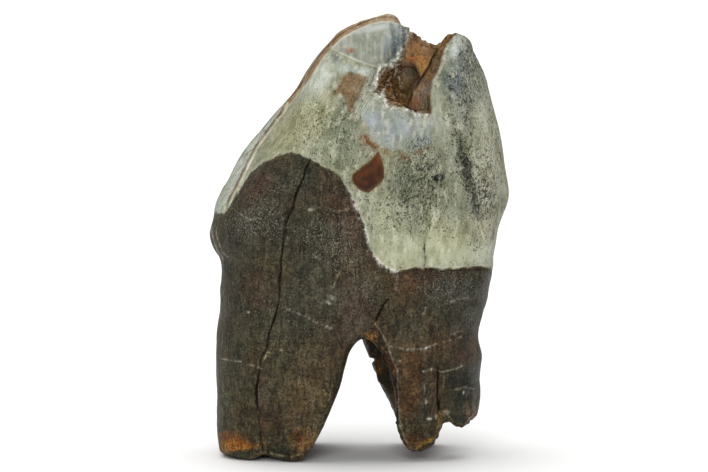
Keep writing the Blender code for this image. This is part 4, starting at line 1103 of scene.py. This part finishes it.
# Painted shade inside the cracks on the front
tint(cracked * 0.95, "#0c0805")
cracked = ease(-away_from_cracks_behind() + 0.1 * grain(1.5, 111), -0.1, 0.05)
cracked = cracked * ease(skin.outward[:, 1], 0.3, 0.5)
raise_skin(-CRACK_DEPTH_BEHIND * cracked)
# Painted shade inside the cracks on the back
tint(cracked * 0.9, "#120d0a")
skin.points[:, 2] = np.maximum(skin.points[:, 2], 0.0)
keep_skin()

# Splitting leaves a few points with only two faces, which would lie on each other once cut into triangles
whole = bmesh.new()
whole.from_mesh(tooth.data)
between_two = [point for point in whole.verts if len(point.link_faces) == 2]
bmesh.ops.dissolve_verts(whole, verts=between_two)
whole.to_mesh(tooth.data)
whole.free()
bpy.ops.object.shade_smooth()

# The finish
# All of it is one mineral skin with a low sheen. The stained colours are broken up by grain that is finer
# than the mesh: specks and mottling in the enamel, fine lumps and pale grains in the cement, crumbs in the
# hollow.
SHEEN = 0.15
# Roughness of the dullest and of the glossiest skin
ROUGHNESS = (0.6, 0.14)
# The gloss from which the grain fades and at which it is gone, with the strength of its bump at each
GRAIN_FADES = (0.4, 0.5)
BUMP_STRENGTH = (0.9, 0.15)
BUMP_DEPTH = 0.1
# How far the specks layer moves the noise values that a layer of specks starts from
CROWDING = 0.13
NOISE_DETAIL = 3.0
NOISE_ROUGHNESS = 0.6
mineral = bpy.data.materials.new("fossil enamel and cement")
mineral.use_nodes = True
nodes, wires = mineral.node_tree.nodes, mineral.node_tree.links
shader = nodes["Principled BSDF"]
shader.inputs["Specular IOR Level"].default_value = SHEEN


def add(kind, inputs, **settings):
    """Adds a node. Its inputs are given by name or number, as a value or as the output that feeds them."""
    node = nodes.new(kind)
    for setting, value in settings.items():
        setattr(node, setting, value)
    for key, value in inputs.items():
        if isinstance(value, bpy.types.NodeSocket):
            wires.new(value, node.inputs[key])
        else:
            node.inputs[key].default_value = value
    return node


def work_out(operation, *values):
    """The output of a Math node that is fed these values."""
    return add("ShaderNodeMath", dict(enumerate(values)), operation=operation).outputs[0]


def map_range(value, limits, goals=(0.0, 1.0), easing="LINEAR"):
    """The output of a Map Range node, which takes a value from between its limits to between its goals."""
    ends = dict(zip(("From Min", "From Max", "To Min", "To Max"), (*limits, *goals)))
    return add("ShaderNodeMapRange", {"Value": value, **ends}, interpolation_type=easing).outputs[0]


def mix_colours(share, colour, other, blend="MIX"):
    """The output of a Mix node for colours, where the two colours are inputs 6 and 7 and output 2."""
    mixed = add("ShaderNodeMix", {0: share, 6: colour, 7: other}, data_type="RGBA", blend_type=blend)
    return mixed.outputs[2]


place_on_tooth = add("ShaderNodeTexCoord", {}).outputs["Object"]
in_mm = add("ShaderNodeVectorMath", {0: place_on_tooth, "Scale": 1 / MM}, operation="SCALE").outputs[0]
stain = add("ShaderNodeAttribute", {}, attribute_name="stain").outputs["Color"]
masks = {name: add("ShaderNodeAttribute", {}, attribute_name=name).outputs["Fac"]
         for name in ("enamel", "hollow", "specks", "gloss")}
crowded = work_out("MULTIPLY", work_out("SUBTRACT", masks["specks"], 0.5), CROWDING)

# Each layer of grain: size in mm, stretch down the tooth, the noise values between which it comes in, its
# colour, how it blends, how strongly, its height as a share of the bump's depth, and whether it crowds
# where the specks do
GRAINS = {
    "cement": (
        (5.0, 1.2, 0.42, 0.64, "#e2c2a4", "MULTIPLY", 0.6, 0.0, False),
        (2.8, 1.6, 0.42, 0.64, "#a0aa9a", "MULTIPLY", 0.6, 0.0, False),
        (0.8, 5.0, 0.45, 0.64, "#857d68", "MULTIPLY", 0.65, -0.3, False),
        (0.6, 9.0, 0.54, 0.70, "#857a5e", "MIX", 0.2, 0.2, False),
        (4.0, 0.08, 0.54, 0.74, "#857e66", "MIX", 0.18, 0.2, False),
        (1.3, 1.2, 0.42, 0.62, "#807d6e", "MULTIPLY", 0.5, -0.4, False),
        (0.42, 1.1, 0.42, 0.62, "#605d4e", "MULTIPLY", 0.7, -0.8, False),
        (0.24, 1.3, 0.60, 0.74, "#b0ab94", "MIX", 0.5, 0.9, True),
    ),
    "enamel": (
        (5.0, 1.4, 0.42, 0.62, "#dcdccc", "MULTIPLY", 0.7, 0.0, False),
        (1.6, 2.0, 0.42, 0.66, "#b8b8a8", "MULTIPLY", 0.6, 0.0, False),
        (1.1, 2.4, 0.50, 0.70, "#d8d6be", "MIX", 0.4, 0.0, False),
        (0.50, 1.4, 0.56, 0.70, "#50524a", "MULTIPLY", 0.8, -0.5, True),
        (0.26, 1.2, 0.54, 0.68, "#66685e", "MULTIPLY", 0.8, -0.4, True),
        (0.3, 1.0, 0.60, 0.68, "#e0e2d4", "MIX", 0.35, 0.3, False),
    ),
    "hollow": (
        (1.6, 1.6, 0.42, 0.62, "#d4c4a8", "MULTIPLY", 0.6, 0.0, False),
        (0.5, 2.5, 0.45, 0.68, "#8a7a68", "MULTIPLY", 0.6, -0.5, False),
        (0.25, 1.0, 0.45, 0.70, "#8a7c6c", "MULTIPLY", 0.6, -0.5, False),
    ),
}
finished, heights = {}, {}
for finish, layers in GRAINS.items():
    colour, height = stain, 0.0
    for size, stretch, low, high, shade, blend, strength, rise, crowds in layers:
        squash = add("ShaderNodeVectorMath", {0: in_mm, 1: (1 / size, 1 / size, 1 / (size * stretch))},
                     operation="MULTIPLY").outputs[0]
        value = add("ShaderNodeTexNoise", {"Vector": squash, "Scale": 1.0, "Detail": NOISE_DETAIL,
                                           "Roughness": NOISE_ROUGHNESS}).outputs["Fac"]
        if crowds:
            value = work_out("ADD", value, crowded)
        share = map_range(value, (low, high), easing="SMOOTHSTEP")
        colour = mix_colours(work_out("MULTIPLY", share, strength), colour, (*linear(shade), 1), blend)
        height = work_out("MULTIPLY_ADD", share, rise, height)
    finished[finish], heights[finish] = colour, height

skin_colour, skin_height = finished["cement"], heights["cement"]
for finish in ("enamel", "hollow"):
    skin_colour = mix_colours(masks[finish], skin_colour, finished[finish])
    skin_height = add("ShaderNodeMix", {0: masks[finish], 2: skin_height, 3: heights[finish]}).outputs[0]
# The amber is smooth: the more gloss, the less grain shows
smooth = map_range(masks["gloss"], GRAIN_FADES)
skin_colour = mix_colours(smooth, skin_colour, stain)
bump_strength = map_range(smooth, (0.0, 1.0), BUMP_STRENGTH)
bump = add("ShaderNodeBump", {"Height": skin_height, "Strength": bump_strength, "Distance": BUMP_DEPTH * MM})
wires.new(skin_colour, shader.inputs["Base Color"])
wires.new(map_range(masks["gloss"], (0.0, 1.0), ROUGHNESS), shader.inputs["Roughness"])
wires.new(bump.outputs["Normal"], shader.inputs["Normal"])

tooth.data.materials.clear()
tooth.data.materials.append(mineral)
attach(tooth, "root")
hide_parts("tooth")
